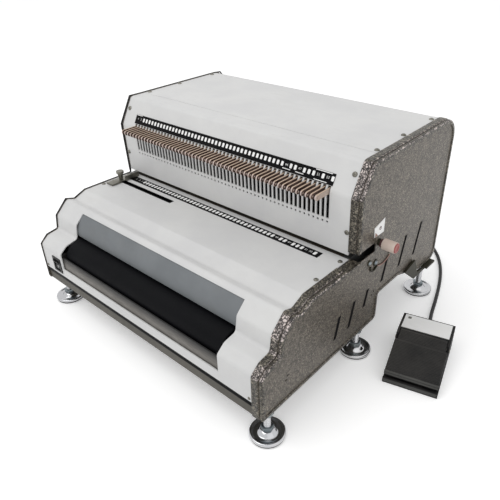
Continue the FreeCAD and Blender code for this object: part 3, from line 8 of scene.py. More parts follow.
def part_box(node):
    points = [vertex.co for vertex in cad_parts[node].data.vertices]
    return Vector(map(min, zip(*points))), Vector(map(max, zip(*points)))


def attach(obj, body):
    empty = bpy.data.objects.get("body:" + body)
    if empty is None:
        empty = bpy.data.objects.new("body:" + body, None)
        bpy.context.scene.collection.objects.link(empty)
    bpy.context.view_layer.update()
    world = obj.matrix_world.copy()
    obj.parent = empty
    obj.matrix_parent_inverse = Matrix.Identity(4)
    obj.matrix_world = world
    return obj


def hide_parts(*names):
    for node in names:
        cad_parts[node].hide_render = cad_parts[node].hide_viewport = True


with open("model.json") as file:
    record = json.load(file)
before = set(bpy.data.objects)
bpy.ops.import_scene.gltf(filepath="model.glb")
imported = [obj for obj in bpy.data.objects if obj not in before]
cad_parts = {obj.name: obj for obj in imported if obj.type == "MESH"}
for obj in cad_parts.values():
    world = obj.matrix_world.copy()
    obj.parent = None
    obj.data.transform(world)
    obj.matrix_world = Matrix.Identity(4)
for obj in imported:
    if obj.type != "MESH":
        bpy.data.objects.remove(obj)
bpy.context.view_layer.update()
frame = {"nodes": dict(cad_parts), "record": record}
nodes = frame["nodes"]
print("frame loaded,", len(nodes), "nodes")

mm = 0.001
coverLow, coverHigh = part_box("front_cover")
machineZero = Vector(((coverLow.x + coverHigh.x) / 2, coverLow.y, 0.0))
toRight, toBack = (1, 0, 0), (0, 1, 0)


def at(x, y, z):  # millimetres across, back and up from the middle of the machine's front edge on the floor
    return machineZero + Vector((x, y, z)) * mm


def moveTo(*place):
    return Matrix.Translation(at(*place))


def turnBy(degrees, axis="Z"):
    return Matrix.Rotation(math.radians(degrees), 4, axis)


def shade(red, green, blue):  # a colour read off a screen, 0 to 255, as the shader wants it
    parts = [channel / 255 for channel in (red, green, blue)]
    parts = [part / 12.92 if part < 0.04 else ((part + 0.055) / 1.055) ** 2.4 for part in parts]
    return (*parts, 1.0)


def linkNew(name, data):  # a new object, put into the scene
    piece = bpy.data.objects.new(name, data)
    bpy.context.scene.collection.objects.link(piece)
    return piece


# camera, fitted to the photograph's pin row and cover corners
cameraSettings = {
    "eye": (451.03, -263.94, 462.30), "turn": 41.72, "tilt": 59.05, "roll": -1.2514, "lens": 37.756, "sensor": 36,
    "shiftX": -0.0266, "shiftY": -0.0148}


def placeCamera(look):
    camera = bpy.data.cameras.new("camera")
    camera.lens = look["lens"]
    camera.sensor_width = look["sensor"]
    camera.shift_x, camera.shift_y = look["shiftX"], look["shiftY"]
    holder = linkNew("camera", camera)
    turned = turnBy(look["turn"]) @ turnBy(look["tilt"], "X")
    holder.matrix_world = moveTo(*look["eye"]) @ turned @ turnBy(look["roll"])
    bpy.context.scene.camera = holder


placeCamera(cameraSettings)
print("camera placed")


# shader building
def addNode(tree, kind, **values):
    node = tree.nodes.new(kind)
    node.location = (200 * len(tree.nodes), -600)  # in a row under the shader
    for key, value in values.items():
        setattr(node, key, value)
    return node


def feed(tree, socket, value):  # a link when it comes from another node, else a plain number or colour
    if isinstance(value, bpy.types.NodeSocket):
        tree.links.new(value, socket)
    else:
        socket.default_value = value


def maths(tree, operation, first, second=0.0, third=0.0):
    node = addNode(tree, "ShaderNodeMath", operation=operation)
    for socket, value in zip(node.inputs, (first, second, third)):
        feed(tree, socket, value)
    return node.outputs[0]


def remap(tree, value, fromLow, fromHigh, toLow=0.0, toHigh=1.0):
    node = addNode(tree, "ShaderNodeMapRange", interpolation_type="SMOOTHSTEP")
    for socket, amount in zip(node.inputs, (value, fromLow, fromHigh, toLow, toHigh)):
        feed(tree, socket, amount)
    return node.outputs[0]


def mixColour(tree, factor, first, second):
    node = addNode(tree, "ShaderNodeMix", data_type="RGBA")
    feed(tree, node.inputs["Factor"], factor)
    feed(tree, node.inputs["A"], first)
    feed(tree, node.inputs["B"], second)
    return node.outputs["Result"]


def pairUp(tree, operation, first, second):  # one vector multiplied by or added to another
    node = addNode(tree, "ShaderNodeVectorMath", operation=operation)
    feed(tree, node.inputs[0], first)
    feed(tree, node.inputs[1], second)
    return node.outputs[0]


def split(tree, vector):  # the three parts of a place or a normal
    node = addNode(tree, "ShaderNodeSeparateXYZ")
    feed(tree, node.inputs[0], vector)
    return node.outputs


def noise(tree, vector, scale, detail, roughness=0.5):
    node = addNode(tree, "ShaderNodeTexNoise")
    for label, value in (("Vector", vector), ("Scale", scale), ("Detail", detail), ("Roughness", roughness)):
        feed(tree, node.inputs[label], value)
    return node.outputs


def newGroup(name, inputs, outputs):
    group = bpy.data.node_groups.new(name, "ShaderNodeTree")
    for label, kind, value in inputs:
        socket = group.interface.new_socket(label, in_out="INPUT", socket_type="NodeSocket" + kind)
        if value is not None:
            socket.default_value = value
    for label, kind in outputs:
        group.interface.new_socket(label, in_out="OUTPUT", socket_type="NodeSocket" + kind)
    given = addNode(group, "NodeGroupInput").outputs
    return group, given, addNode(group, "NodeGroupOutput").inputs


def placeGroup(tree, group, **values):
    node = addNode(tree, "ShaderNodeGroup", node_tree=group)
    for label, value in values.items():
        feed(tree, node.inputs[label], value)
    return node.outputs


grainSettings = {
    "cloudNoise": (4.0, 0.6), "broadScale": 0.23, "broadShare": 0.6, "fineShare": 0.4, "toneBand": (0.3, 0.7),
    "streakBand": (0.32, 0.68)}


def makeGrainGroup(look):  # the skin of paint, plastic, rubber or ground metal: fine relief and a cloudy tone
    group, given, out = newGroup("surfaceGrain",
                                 [("Vector", "Vector", None), ("Run", "Vector", (1, 1, 1)),
                                  ("Fine", "Float", 900.0), ("Cloud", "Float", 18.0)],
                                 [("Height", "Float"), ("Tone", "Float"), ("Streak", "Float")])
    run = pairUp(group, "MULTIPLY", given["Vector"], given["Run"])
    fine = noise(group, run, given["Fine"], 2.0)[0]
    broadScale = maths(group, "MULTIPLY", given["Fine"], look["broadScale"])
    broad = noise(group, run, broadScale, 1.0)[0]
    cloud = noise(group, given["Vector"], given["Cloud"], *look["cloudNoise"])[0]
    fineShare = maths(group, "MULTIPLY", fine, look["fineShare"])
    feed(group, out["Height"], maths(group, "MULTIPLY_ADD", broad, look["broadShare"], fineShare))
    feed(group, out["Tone"], remap(group, cloud, *look["toneBand"]))
    feed(group, out["Streak"], remap(group, fine, *look["streakBand"]))
    return group


handlingSettings = {
    "broadNoise": (5.0, 0.62), "thinNoise": (6.0, 0.7), "thinRun": (1, 2.6, 0.8), "thinScale": 4,
    "smearBand": (0.24, 0.42), "facingBand": (0.2, 1), "dustBand": (0.35, 0.75)}


def makeHandlingGroup(look):  # where hands and dust have been: smears, and dust that lies on what faces up
    group, given, out = newGroup("handling",
                                 [("Vector", "Vector", None), ("Normal", "Vector", None), ("Scale", "Float", 9.0)],
                                 [("Smear", "Float"), ("Dust", "Float")])
    broad = noise(group, given["Vector"], given["Scale"], *look["broadNoise"])[0]
    thinRun = pairUp(group, "MULTIPLY", given["Vector"], look["thinRun"])
    thinScale = maths(group, "MULTIPLY", given["Scale"], look["thinScale"])
    thin = noise(group, thinRun, thinScale, *look["thinNoise"])[0]
    both = maths(group, "MULTIPLY", broad, thin)
    feed(group, out["Smear"], remap(group, both, *look["smearBand"]))
    facing = remap(group, split(group, given["Normal"])["Z"], *look["facingBand"])
    patches = remap(group, broad, *look["dustBand"])
    feed(group, out["Dust"], maths(group, "MULTIPLY", facing, patches))
    return group


beadSettings = {
    "swayScale": 0.8, "sway": 2.2, "domeBand": (0, 0.3), "cloudScale": 60, "ownShare": 0.5, "cloudShare": 0.35,
    "gain": 1.1, "lift": 0.1}


def makeHammerGroup(look):  # hammer paint: pale metallic beads in a dark net, fine on the flats
    group, given, out = newGroup("hammerPaint",
                                 [("Vector", "Vector", None), ("Cells", "Float", 420.0), ("Contrast", "Float", 0.6),
                                  ("Dark", "Color", (0, 0, 0, 1)), ("Light", "Color", (1, 1, 1, 1))],
                                 [("Color", "Color"), ("Bead", "Float"), ("Height", "Float")])
    swayScale = maths(group, "MULTIPLY", given["Cells"], look["swayScale"])
    push = addNode(group, "ShaderNodeVectorMath", operation="SCALE")
    feed(group, push.inputs[0], noise(group, given["Vector"], swayScale, 2.0)["Color"])
    feed(group, push.inputs["Scale"], maths(group, "DIVIDE", look["sway"], given["Cells"]))
    bent = pairUp(group, "ADD", given["Vector"], push.outputs[0])
    net = addNode(group, "ShaderNodeTexVoronoi", feature="DISTANCE_TO_EDGE")
    cell = addNode(group, "ShaderNodeTexVoronoi", feature="F1")
    for pattern in (net, cell):
        feed(group, pattern.inputs["Vector"], bent)
        feed(group, pattern.inputs["Scale"], given["Cells"])
    dome = remap(group, net.outputs["Distance"], *look["domeBand"])
    own = addNode(group, "ShaderNodeSeparateColor")
    feed(group, own.inputs[0], cell.outputs["Color"])
    cloud = noise(group, given["Vector"], look["cloudScale"], 3.0)[0]
    cloudShare = maths(group, "MULTIPLY", cloud, look["cloudShare"])
    mixed = maths(group, "MULTIPLY_ADD", own.outputs[0], look["ownShare"], cloudShare)
    flat = maths(group, "SUBTRACT", 1.0, given["Contrast"])
    domed = maths(group, "MULTIPLY_ADD", dome, given["Contrast"], flat)
    tone = maths(group, "MULTIPLY_ADD", mixed, look["gain"], look["lift"])
    level = maths(group, "MULTIPLY", domed, tone)
    feed(group, out["Color"], mixColour(group, level, given["Dark"], given["Light"]))
    feed(group, out["Bead"], level)
    feed(group, out["Height"], dome)
    return group


surfaceGrain = makeGrainGroup(grainSettings)
handling = makeHandlingGroup(handlingSettings)
hammerPaint = makeHammerGroup(beadSettings)


def newMaterial(name):
    material = bpy.data.materials.new(name)
    material.use_nodes = True
    return material, material.node_tree, material.node_tree.nodes["Principled BSDF"].inputs


def reliefNormal(tree, height, depth, edge):  # relief over softly rounded edges, both in millimetres
    softEdge = addNode(tree, "ShaderNodeBevel", samples=4)
    softEdge.inputs["Radius"].default_value = edge * mm
    relief = addNode(tree, "ShaderNodeBump")
    relief.inputs["Distance"].default_value = depth * mm
    feed(tree, relief.inputs["Height"], height)
    feed(tree, relief.inputs["Normal"], softEdge.outputs[0])
    return relief.outputs[0]


def wearLayer(tree, colour, mask, amount, over):  # one more colour on the finish, as far as its mask goes
    return mixColour(tree, maths(tree, "MULTIPLY", mask, amount), colour, shade(*over))


# what a finish has where it names nothing else
plainFinish = {
    "run": (1, 1, 1), "fine": 1500, "relief": 0.03, "edge": 0.4, "metallic": 0, "specular": 0.5, "deepen": 0.93,
    "streakAmount": 0.5, "smearColour": (120, 112, 100), "dustColour": (150, 145, 138), "smearRough": 0.08,
    "streakRough": 0.05}


def makeFinish(name, look):
    material, tree, shader = newMaterial(name)
    look = {**plainFinish, "deep": [channel * plainFinish["deepen"] for channel in look["colour"]], **look}
    coordinates = addNode(tree, "ShaderNodeTexCoord").outputs
    place = coordinates["Object"]
    grain = placeGroup(tree, surfaceGrain, Vector=place, Run=look["run"], Fine=look["fine"])
    marks = placeGroup(tree, handling, Vector=place, Normal=coordinates["Normal"])
    colour = mixColour(tree, grain["Tone"], shade(*look["deep"]), shade(*look["colour"]))
    if "streak" in look:
        colour = wearLayer(tree, colour, grain["Streak"], look["streakAmount"], look["streak"])
    if "smear" in look:
        colour = wearLayer(tree, colour, marks["Smear"], look["smear"], look["smearColour"])
    if "dust" in look:
        colour = wearLayer(tree, colour, marks["Dust"], look["dust"], look["dustColour"])
    # painted shade: darker between two heights; the tray uses this for the shade under the roller
    if "rollerShadeFade" in look:  # towards another colour between two heights
        low, high, far = look["rollerShadeFade"]
        height = split(tree, place)["Z"]
        rise = remap(tree, height, machineZero.z + low * mm, machineZero.z + high * mm)
        colour = mixColour(tree, rise, colour, shade(*far))
    feed(tree, shader["Base Color"], colour)
    rough = maths(tree, "MULTIPLY_ADD", marks["Smear"], look["smearRough"], look["roughness"])
    rough = maths(tree, "MULTIPLY_ADD", grain["Streak"], look["streakRough"], rough)
    feed(tree, shader["Roughness"], rough)
    shader["Metallic"].default_value = look["metallic"]
    shader["Specular IOR Level"].default_value = look["specular"]
    feed(tree, shader["Normal"], reliefNormal(tree, grain["Height"], look["relief"], look["edge"]))
    return material


finishes = {
    "cover_white": {"colour": (215, 215, 214), "deep": (208, 208, 208), "roughness": 0.45, "specular": 0.35,
        "fine": 1400, "smear": 0.05, "edge": 0.7},
    "sheet_grey": {"colour": (92, 92, 90), "roughness": 0.5, "fine": 1200, "dust": 0.2},
    "frame_steel": {"colour": (118, 118, 118), "roughness": 0.45, "metallic": 0.7, "fine": 700, "run": (0.05, 1, 1),
        "streak": (90, 90, 90), "smear": 0.25, "relief": 0.05},
    "ground_steel": {"colour": (176, 176, 174), "roughness": 0.3, "metallic": 1, "fine": 900, "run": (0.03, 1, 1),
        "streak": (140, 140, 138), "relief": 0.05},
    "dieSteel": {"colour": (78, 72, 64), "deep": (62, 57, 50), "roughness": 0.6, "specular": 0.12, "fine": 800,
        "run": (0.05, 1, 1), "streak": (66, 62, 55), "smear": 0.3, "smearColour": (70, 62, 50), "relief": 0.05},
    # the ram's finish: black-oxide steel, kept darker still as painted shade for the inside of the machine behind the
    # lever slots and in the vents
    "oxideAndShade": {"colour": (34, 34, 36), "deep": (26, 26, 28), "roughness": 0.62, "specular": 0.2, "fine": 900,
        "run": (0.05, 1, 1), "streak": (48, 47, 46), "smear": 0.2, "relief": 0.05},
    "slate_panel": {"colour": (121, 125, 128), "deep": (112, 116, 119), "roughness": 0.5, "specular": 0.3,
        "fine": 1300, "relief": 0.04, "smear": 0.08},
    # the tray darkens towards its top, under the roller: painted shade
    "tray_brown": {"colour": (132, 129, 124), "deep": (118, 115, 110), "roughness": 0.5, "specular": 0.3,
        "fine": 1100, "relief": 0.04, "run": (0.1, 1, 1), "streak": (92, 88, 84), "dust": 0.15,
        "rollerShadeFade": (72, 87, (34, 33, 33))},
    "roller_rubber": {"colour": (9, 10, 13), "deep": (5, 6, 8), "roughness": 0.55, "specular": 0.08, "fine": 1800,
        "run": (0.2, 1, 1), "relief": 0.05, "streak": (16, 16, 19)},
    "pulley_alloy": {"colour": (176, 177, 178), "roughness": 0.3, "metallic": 1, "fine": 1200,
        "streak": (150, 150, 150), "relief": 0.05},
    "motor_paint": {"colour": (56, 60, 66), "roughness": 0.45, "fine": 1000, "relief": 0.05},
    "belt_rubber": {"colour": (30, 30, 31), "roughness": 0.7, "specular": 0.25, "fine": 1600, "relief": 0.05,
        "dust": 0.2},
    "black_steel": {"colour": (60, 58, 46), "deep": (44, 42, 32), "roughness": 0.45, "metallic": 0.2, "specular": 0.2,
        "fine": 1300},
    "knob_cream": {"colour": (222, 206, 194), "deep": (212, 192, 180), "roughness": 0.35, "fine": 1400,
        "relief": 0.02, "smear": 0.2, "smearColour": (190, 150, 138)},
    "knobRed": {"colour": (164, 86, 80), "deep": (140, 64, 60), "roughness": 0.38, "fine": 1400, "relief": 0.02,
        "smear": 0.3, "smearColour": (150, 60, 58)},
    "knobMaroon": {"colour": (78, 38, 40), "deep": (62, 30, 32), "roughness": 0.42, "fine": 1400, "smear": 0.3},
    "armPink": {"colour": (158, 128, 116), "deep": (134, 104, 94), "roughness": 0.4, "metallic": 0.3, "fine": 1200,
        "smear": 0.3},
    "label_white": {"colour": (247, 247, 246), "deep": (241, 241, 240), "roughness": 0.42, "specular": 0.3,
        "fine": 1600, "relief": 0.01, "smear": 0.05},
    "printGrey": {"colour": (128, 128, 122), "deep": (108, 108, 100), "roughness": 0.5, "specular": 0.3,
        "fine": 1600, "relief": 0.01},
    "black_plastic": {"colour": (26, 26, 27), "deep": (20, 20, 21), "roughness": 0.42, "specular": 0.3,
        "fine": 1700, "dust": 0.1},
    "scale_black": {"colour": (11, 11, 13), "deep": (7, 7, 9), "roughness": 0.5, "specular": 0.08, "relief": 0.01,
        "smear": 0.03},
    "zinc_screw": {"colour": (142, 140, 132), "deep": (112, 110, 102), "roughness": 0.36, "metallic": 1,
        "relief": 0.02, "smear": 0.3},
    "zincNut": {"colour": (150, 158, 162), "deep": (116, 124, 128), "roughness": 0.3, "metallic": 1, "relief": 0.02,
        "smear": 0.4, "smearColour": (120, 116, 92)},
    "drawer_grey": {"colour": (88, 85, 78), "deep": (76, 73, 66), "roughness": 0.5, "specular": 0.3, "fine": 1200,
        "smear": 0.1},
    "pedal_black": {"colour": (30, 29, 31), "deep": (22, 22, 23), "roughness": 0.5, "specular": 0.18, "relief": 0.05,
        "dust": 0.12},
    "pedalGrey": {"colour": (72, 72, 70), "deep": (60, 60, 58), "roughness": 0.48, "specular": 0.3, "relief": 0.05,
        "dust": 0.15},
    "pedalRubber": {"colour": (34, 33, 33), "deep": (22, 22, 23), "roughness": 0.5, "specular": 0.25, "relief": 0.04,
        "run": (0.1, 1, 1), "streak": (56, 56, 54), "streakAmount": 0.35, "dust": 0.12},
    "cord_black": {"colour": (24, 24, 25), "deep": (19, 19, 20), "roughness": 0.46, "specular": 0.3, "fine": 1800,
        "relief": 0.02},
    "foot_chrome": {"colour": (205, 205, 206), "deep": (186, 187, 190), "roughness": 0.13, "metallic": 1,
        "relief": 0.01, "smear": 0.25, "smearColour": (150, 150, 146)}}


# selector levers: tan on top, with painted light and shade by which way a face turns: a paler nose as a painted
# highlight, dark brown painted shade where a lever faces its neighbour, and the last lever's outer side painted lit
leverSettings = {
    "top": (200, 178, 156), "nose": (198, 182, 176), "side": (50, 29, 24), "end": (186, 170, 158),
    "worn": (176, 148, 132), "grime": (96, 66, 54), "wear": 0.35, "lastFace": 167.2, "shadedSideBand": (0.5, 0.8),
    "noseBand": (0.3, 0.8), "roughness": 0.45, "streakRough": 0.12, "metallic": 0.1, "run": (1, 0.08, 1),
    "fine": 1500, "cloud": 120, "marks": 60, "relief": 0.03, "edge": 0.35}


def makeLeverFinish(name, look):
    material, tree, shader = newMaterial(name)
    coordinates = addNode(tree, "ShaderNodeTexCoord").outputs
    place, normal = coordinates["Object"], coordinates["Normal"]
    grain = placeGroup(tree, surfaceGrain, Vector=place, Run=look["run"], Fine=look["fine"], Cloud=look["cloud"])
    marks = placeGroup(tree, handling, Vector=place, Normal=normal, Scale=look["marks"])
    facing = split(tree, normal)
    across = split(tree, place)["X"]
    # painted light and shade: sideways faces take the shaded brown, except the last lever's outer side, which takes
    # the lit colour; forward faces take the paler, lit nose colour
    sideways = remap(tree, maths(tree, "ABSOLUTE", facing["X"]), *look["shadedSideBand"])
    litNoseMask = remap(tree, maths(tree, "MULTIPLY", facing["Y"], -1.0), *look["noseBand"])
    litOuterSide = maths(tree, "GREATER_THAN", across, machineZero.x + look["lastFace"] * mm)
    colour = mixColour(tree, litNoseMask, shade(*look["top"]), shade(*look["nose"]))
    paintedFlank = mixColour(tree, litOuterSide, shade(*look["side"]), shade(*look["end"]))
    colour = mixColour(tree, sideways, colour, paintedFlank)
    colour = wearLayer(tree, colour, grain["Tone"], look["wear"], look["worn"])
    colour = wearLayer(tree, colour, marks["Smear"], look["wear"], look["grime"])
    feed(tree, shader["Base Color"], colour)
    rough = maths(tree, "MULTIPLY_ADD", grain["Streak"], look["streakRough"], look["roughness"])
    feed(tree, shader["Roughness"], rough)
    shader["Metallic"].default_value = look["metallic"]
    feed(tree, shader["Normal"], reliefNormal(tree, grain["Height"], look["relief"], look["edge"]))
    return material


# hammer paint, fine on the recessed face and coarse on the rim and its bead; the rim's colours carry painted light
# and shade, brighter where the rim leans back
hammerSettings = {
    "faceCells": 440, "faceContrast": 0.85, "faceDark": (42, 38, 32), "faceLight": (156, 146, 132),
    "rimCells": 300, "rimContrast": 1, "paintedRimDark": (10, 8, 7), "paintedRimLight": (246, 232, 226),
    "shadedRimDark": (26, 22, 17), "shadedRimLight": (158, 150, 134), "leanFrom": (0.06, 0.28), "leanTo": (0.72, 0.92),
    "rimBand": (0.7, 0.95), "beadStart": 208.95, "roughness": 0.38, "gleam": -0.14, "metallic": 0.25, "relief": 0.3,
    "faceRelief": 0.3, "edge": 0.8}


def makeHammerFinish(name, look):
    material, tree, shader = newMaterial(name)
    coordinates = addNode(tree, "ShaderNodeTexCoord").outputs
    place = coordinates["Object"]
    facing = split(tree, coordinates["Normal"])
    across = split(tree, place)["X"]
    # painted light and shade: only the rims that lean back get the bright, lit bead colours, as if catching the lamp;
    # the tops and the uprights get duller, shaded ones
    leanFrom = remap(tree, facing["Z"], *look["leanFrom"])
    leanTo = remap(tree, facing["Z"], *look["leanTo"], 1.0, 0.0)
    litLean = maths(tree, "MULTIPLY", leanFrom, leanTo)
    shadedShare = maths(tree, "SUBTRACT", 1.0, litLean)
    paintedRimDark = mixColour(tree, shadedShare, shade(*look["paintedRimDark"]), shade(*look["shadedRimDark"]))
    paintedRimLight = mixColour(tree, shadedShare, shade(*look["paintedRimLight"]), shade(*look["shadedRimLight"]))
    face = placeGroup(tree, hammerPaint, Vector=place, Cells=look["faceCells"],
                      Contrast=look["faceContrast"], Dark=shade(*look["faceDark"]), Light=shade(*look["faceLight"]))
    edge = placeGroup(tree, hammerPaint, Vector=place, Cells=look["rimCells"],
                      Contrast=look["rimContrast"], Dark=paintedRimDark, Light=paintedRimLight)
    sideways = maths(tree, "ABSOLUTE", facing["X"])
    turnedAway = remap(tree, sideways, *look["rimBand"], 1.0, 0.0)
    bead = maths(tree, "GREATER_THAN", across, machineZero.x + look["beadStart"] * mm)
    rim = maths(tree, "MAXIMUM", turnedAway, bead)
    feed(tree, shader["Base Color"], mixColour(tree, rim, face["Color"], edge["Color"]))
    gleam = maths(tree, "MULTIPLY", rim, edge["Bead"])
    rough = maths(tree, "MULTIPLY_ADD", gleam, look["gleam"], look["roughness"])
    feed(tree, shader["Roughness"], rough)
    shader["Metallic"].default_value = look["metallic"]
    fineHeight = maths(tree, "MULTIPLY", face["Height"], look["faceRelief"])
    coarser = maths(tree, "SUBTRACT", edge["Height"], fineHeight)
    height = maths(tree, "ADD", fineHeight, maths(tree, "MULTIPLY", rim, coarser))
    feed(tree, shader["Normal"], reliefNormal(tree, height, look["relief"], look["edge"]))
    return material


materials = {name: makeFinish(name, look) for name, look in finishes.items()}
materials["hammertone"] = makeHammerFinish("hammertone", hammerSettings)
materials["lever_tan"] = makeLeverFinish("lever_tan", leverSettings)
slotOf = {part["node"]: part["material_slot"] for part in frame["record"]["subparts"]}
# the ram and its pins get the dark oxide finish, which is also painted shade for the machine's inside seen through
# the lever slots
ownFinish = {"die_plate": "dieSteel", "stripper_plate": "dieSteel", "ram_beam": "oxideAndShade", "punch_pins": "oxideAndShade"}
for node, piece in nodes.items():
    piece.data.materials.clear()
    piece.data.materials.append(materials[ownFinish.get(node, slotOf[node])])
print("finishes made,", len(materials))


# modelling helpers; an operator acts on all that is selected, so everything is let go first
def letGo():
    if bpy.context.mode != "OBJECT":
        bpy.ops.object.mode_set(mode="OBJECT")
    bpy.ops.object.select_all(action="DESELECT")


def takeUp(piece, editing=True):
    letGo()
    piece.select_set(True)
    bpy.context.view_layer.objects.active = piece
    if editing:
        bpy.ops.object.mode_set(mode="EDIT")
        bpy.ops.mesh.select_mode(type="VERT")
        bpy.ops.mesh.select_all(action="DESELECT")


def takeAll(piece):
    takeUp(piece)
    bpy.ops.mesh.select_all(action="SELECT")


squarely = 0.98  # how far a face's normal has to lie along an axis to be picked


def pickFaces(piece, test):  # test(middle in millimetres, normal)
    bpy.ops.mesh.select_mode(type="FACE")
    bpy.ops.mesh.select_all(action="DESELECT")
    shape = bmesh.from_edit_mesh(piece.data)
    for face in shape.faces:
        if test((face.calc_center_median() - machineZero) / mm, face.normal):
            face.select_set(True)
    shape.select_flush_mode()
    bmesh.update_edit_mesh(piece.data)


def roundEdges(piece, edge, segments, affect="EDGES"):
    takeAll(piece)
    bpy.ops.mesh.bevel(offset=edge * mm, segments=segments, affect=affect)


def closeUp(gap):  # joins the corners that lie within the gap and turns the faces outwards
    bpy.ops.mesh.select_all(action="SELECT")
    bpy.ops.mesh.remove_doubles(threshold=gap * mm)
    bpy.ops.mesh.normals_make_consistent(inside=False)


def hollowOut(piece, axis, wall):  # a box made a frame, open along one axis
    takeUp(piece)
    pickFaces(piece, lambda middle, normal: abs(normal[axis]) > squarely)
    bpy.ops.mesh.inset(thickness=wall * mm)
    bpy.ops.mesh.bridge_edge_loops()
    letGo()


def applyPlace(piece, matrix=None):
    takeUp(piece, editing=False)
    if matrix is not None:
        piece.matrix_world = matrix
    bpy.ops.object.transform_apply(location=True, rotation=True, scale=True)
    return piece


def stand(piece, place, axis=(0, 0, 1), turn=0.0):  # from upright at the origin to its place, along the axis
    tilt = Vector((0, 0, 1)).rotation_difference(Vector(axis)).to_matrix().to_4x4()
    return applyPlace(piece, moveTo(*place) @ tilt @ turnBy(turn))


def lieOn(piece, place, along):  # from flat at the origin to a sloping surface, its top edge towards along
    up = Vector((0, *along)).normalized()
    turned = Matrix((Vector(toRight), up, Vector(toRight).cross(up))).transposed().to_4x4()
    return applyPlace(piece, moveTo(*place) @ turned)


def copyPiece(piece):
    twin = piece.copy()
    twin.data = piece.data.copy()
    bpy.context.scene.collection.objects.link(twin)
    return twin


def joinPieces(parts):
    letGo()
    for part in parts:
        part.select_set(True)
    bpy.context.view_layer.objects.active = parts[0]
    bpy.ops.object.join()
    return bpy.context.object


def asMesh(piece):
    takeUp(piece, editing=False)
    bpy.ops.object.convert(target="MESH")
    return piece


def block(low, high, edge, segments=2):  # a box between two corners, its edges rounded
    letGo()
    middle = [(near + far) / 2 for near, far in zip(low, high)]
    size = [(far - near) * mm for near, far in zip(low, high)]
    bpy.ops.mesh.primitive_cube_add(size=1, location=at(*middle), scale=size)
    piece = applyPlace(bpy.context.object)
    roundEdges(piece, edge, segments)
    letGo()
    return piece


def turnedPiece(profile, steps):  # radius and height pairs, spun about the upright axis at the origin
    letGo()
    bpy.ops.mesh.primitive_plane_add(size=mm, location=(0, 0, 0))
    piece = bpy.context.object
    takeAll(piece)
    bpy.ops.mesh.merge(type="CENTER")
    last = Vector((0, 0, 0))
    for number, (radius, height) in enumerate(profile):
        here = Vector((radius, 0, height)) * mm
        if number:
            bpy.ops.mesh.extrude_vertices_move(TRANSFORM_OT_translate={"value": here - last})
        else:
            bpy.ops.transform.translate(value=here)
        last = here
    bpy.ops.mesh.select_all(action="SELECT")
    bpy.ops.mesh.spin(steps=steps, angle=2 * math.pi, center=(0, 0, 0), axis=(0, 0, 1))
    closeUp(gap=0.01)
    letGo()
    return piece


def hexNut(across, tall, edge=0.7):  # corner to corner, standing at the origin
    letGo()
    bpy.ops.mesh.primitive_cylinder_add(vertices=6, radius=across / 2 * mm, depth=tall * mm,
                                        location=(0, 0, tall / 2 * mm))
    piece = applyPlace(bpy.context.object)
    roundEdges(piece, edge, segments=2)
    pickFaces(piece, lambda middle, normal: abs(normal.z) > squarely)
    bpy.ops.mesh.inset(thickness=0.9 * mm, depth=0.15 * mm)
    letGo()
    return piece


def rodAlong(name, places, radius, resolution, kind="NURBS"):  # a round rod through or along a row of places
    curve = bpy.data.curves.new(name, "CURVE")
    curve.dimensions = "3D"
    spline = curve.splines.new(kind)
    spline.points.add(len(places) - 1)
    for point, place in zip(spline.points, places):
        point.co = (*at(*place), 1)
    if kind == "NURBS":
        spline.order_u = 3
        spline.use_endpoint_u = True
    curve.bevel_depth = radius * mm
    curve.bevel_resolution = resolution
    curve.use_fill_caps = True
    return linkNew(name, curve)


def settle(piece, name, body, slot, stands=(), finish=None, angle=32):
    takeUp(piece)
    closeUp(gap=0.004)
    applyPlace(piece)
    bpy.ops.object.shade_smooth_by_angle(angle=math.radians(angle))
    piece.name = name
    piece.data.materials.clear()
    piece.data.materials.append(materials[finish or slot])
    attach(piece, body)
    if stands:
        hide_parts(*stands)
    letGo()
    return piece


# levelling feet: a rubber pad, a chromed dished disc, a threaded stud and two nuts
footSettings = {
    "seats": {1: (201.5, 16, 35.9, 42.9), 2: (201.5, 186, 35.9, 42.9), 3: (201.5, 355, 47.7, 50.7),
        4: (-182, 16, 32.9, 35.9), 5: (-182, 186, 32.9, 35.9), 6: (-182, 355, 47.7, 50.7)},
    "pad": [(0, 0), (18.7, 0), (19.4, 0.5), (19.6, 1.8), (0, 1.8)],
    "disc": [(0, 1.8), (19.5, 1.8), (20, 2.4), (20, 4.2), (19.6, 5), (18.8, 5.5), (17.9, 5.6), (17, 5.3),
        (16.2, 4.5), (14.6, 4.1), (11.6, 4.2), (10.4, 4.8), (9.2, 6.4), (7.4, 8), (5.4, 8.8), (3.4, 9), (0, 9)],
    "threadStart": 8.6, "threadEnd": 0.8, "threadStep": 1.25, "threadRadius": 4,
    "threadRing": [(-0.55, 0), (-0.05, 0.5), (-0.05, 0.72)], "tip": [(-0.6, -0.5), (-1.2, 0)], "nutAcross": 15,
    "nutTall": 5, "nutGap": 0.05, "lowNut": 9.1, "lowTurn": 11, "highTurn": 7}


def threadProfile(look, top):
    radius, start, step = look["threadRadius"], look["threadStart"], look["threadStep"]
    profile = [(0, start)]
    for ring in range(int((top - start - look["threadEnd"]) / step)):
        profile += [(radius + out, start + ring * step + up) for out, up in look["threadRing"]]
    return profile + [(radius + out, top + up) for out, up in look["tip"]] + [(0, top)]


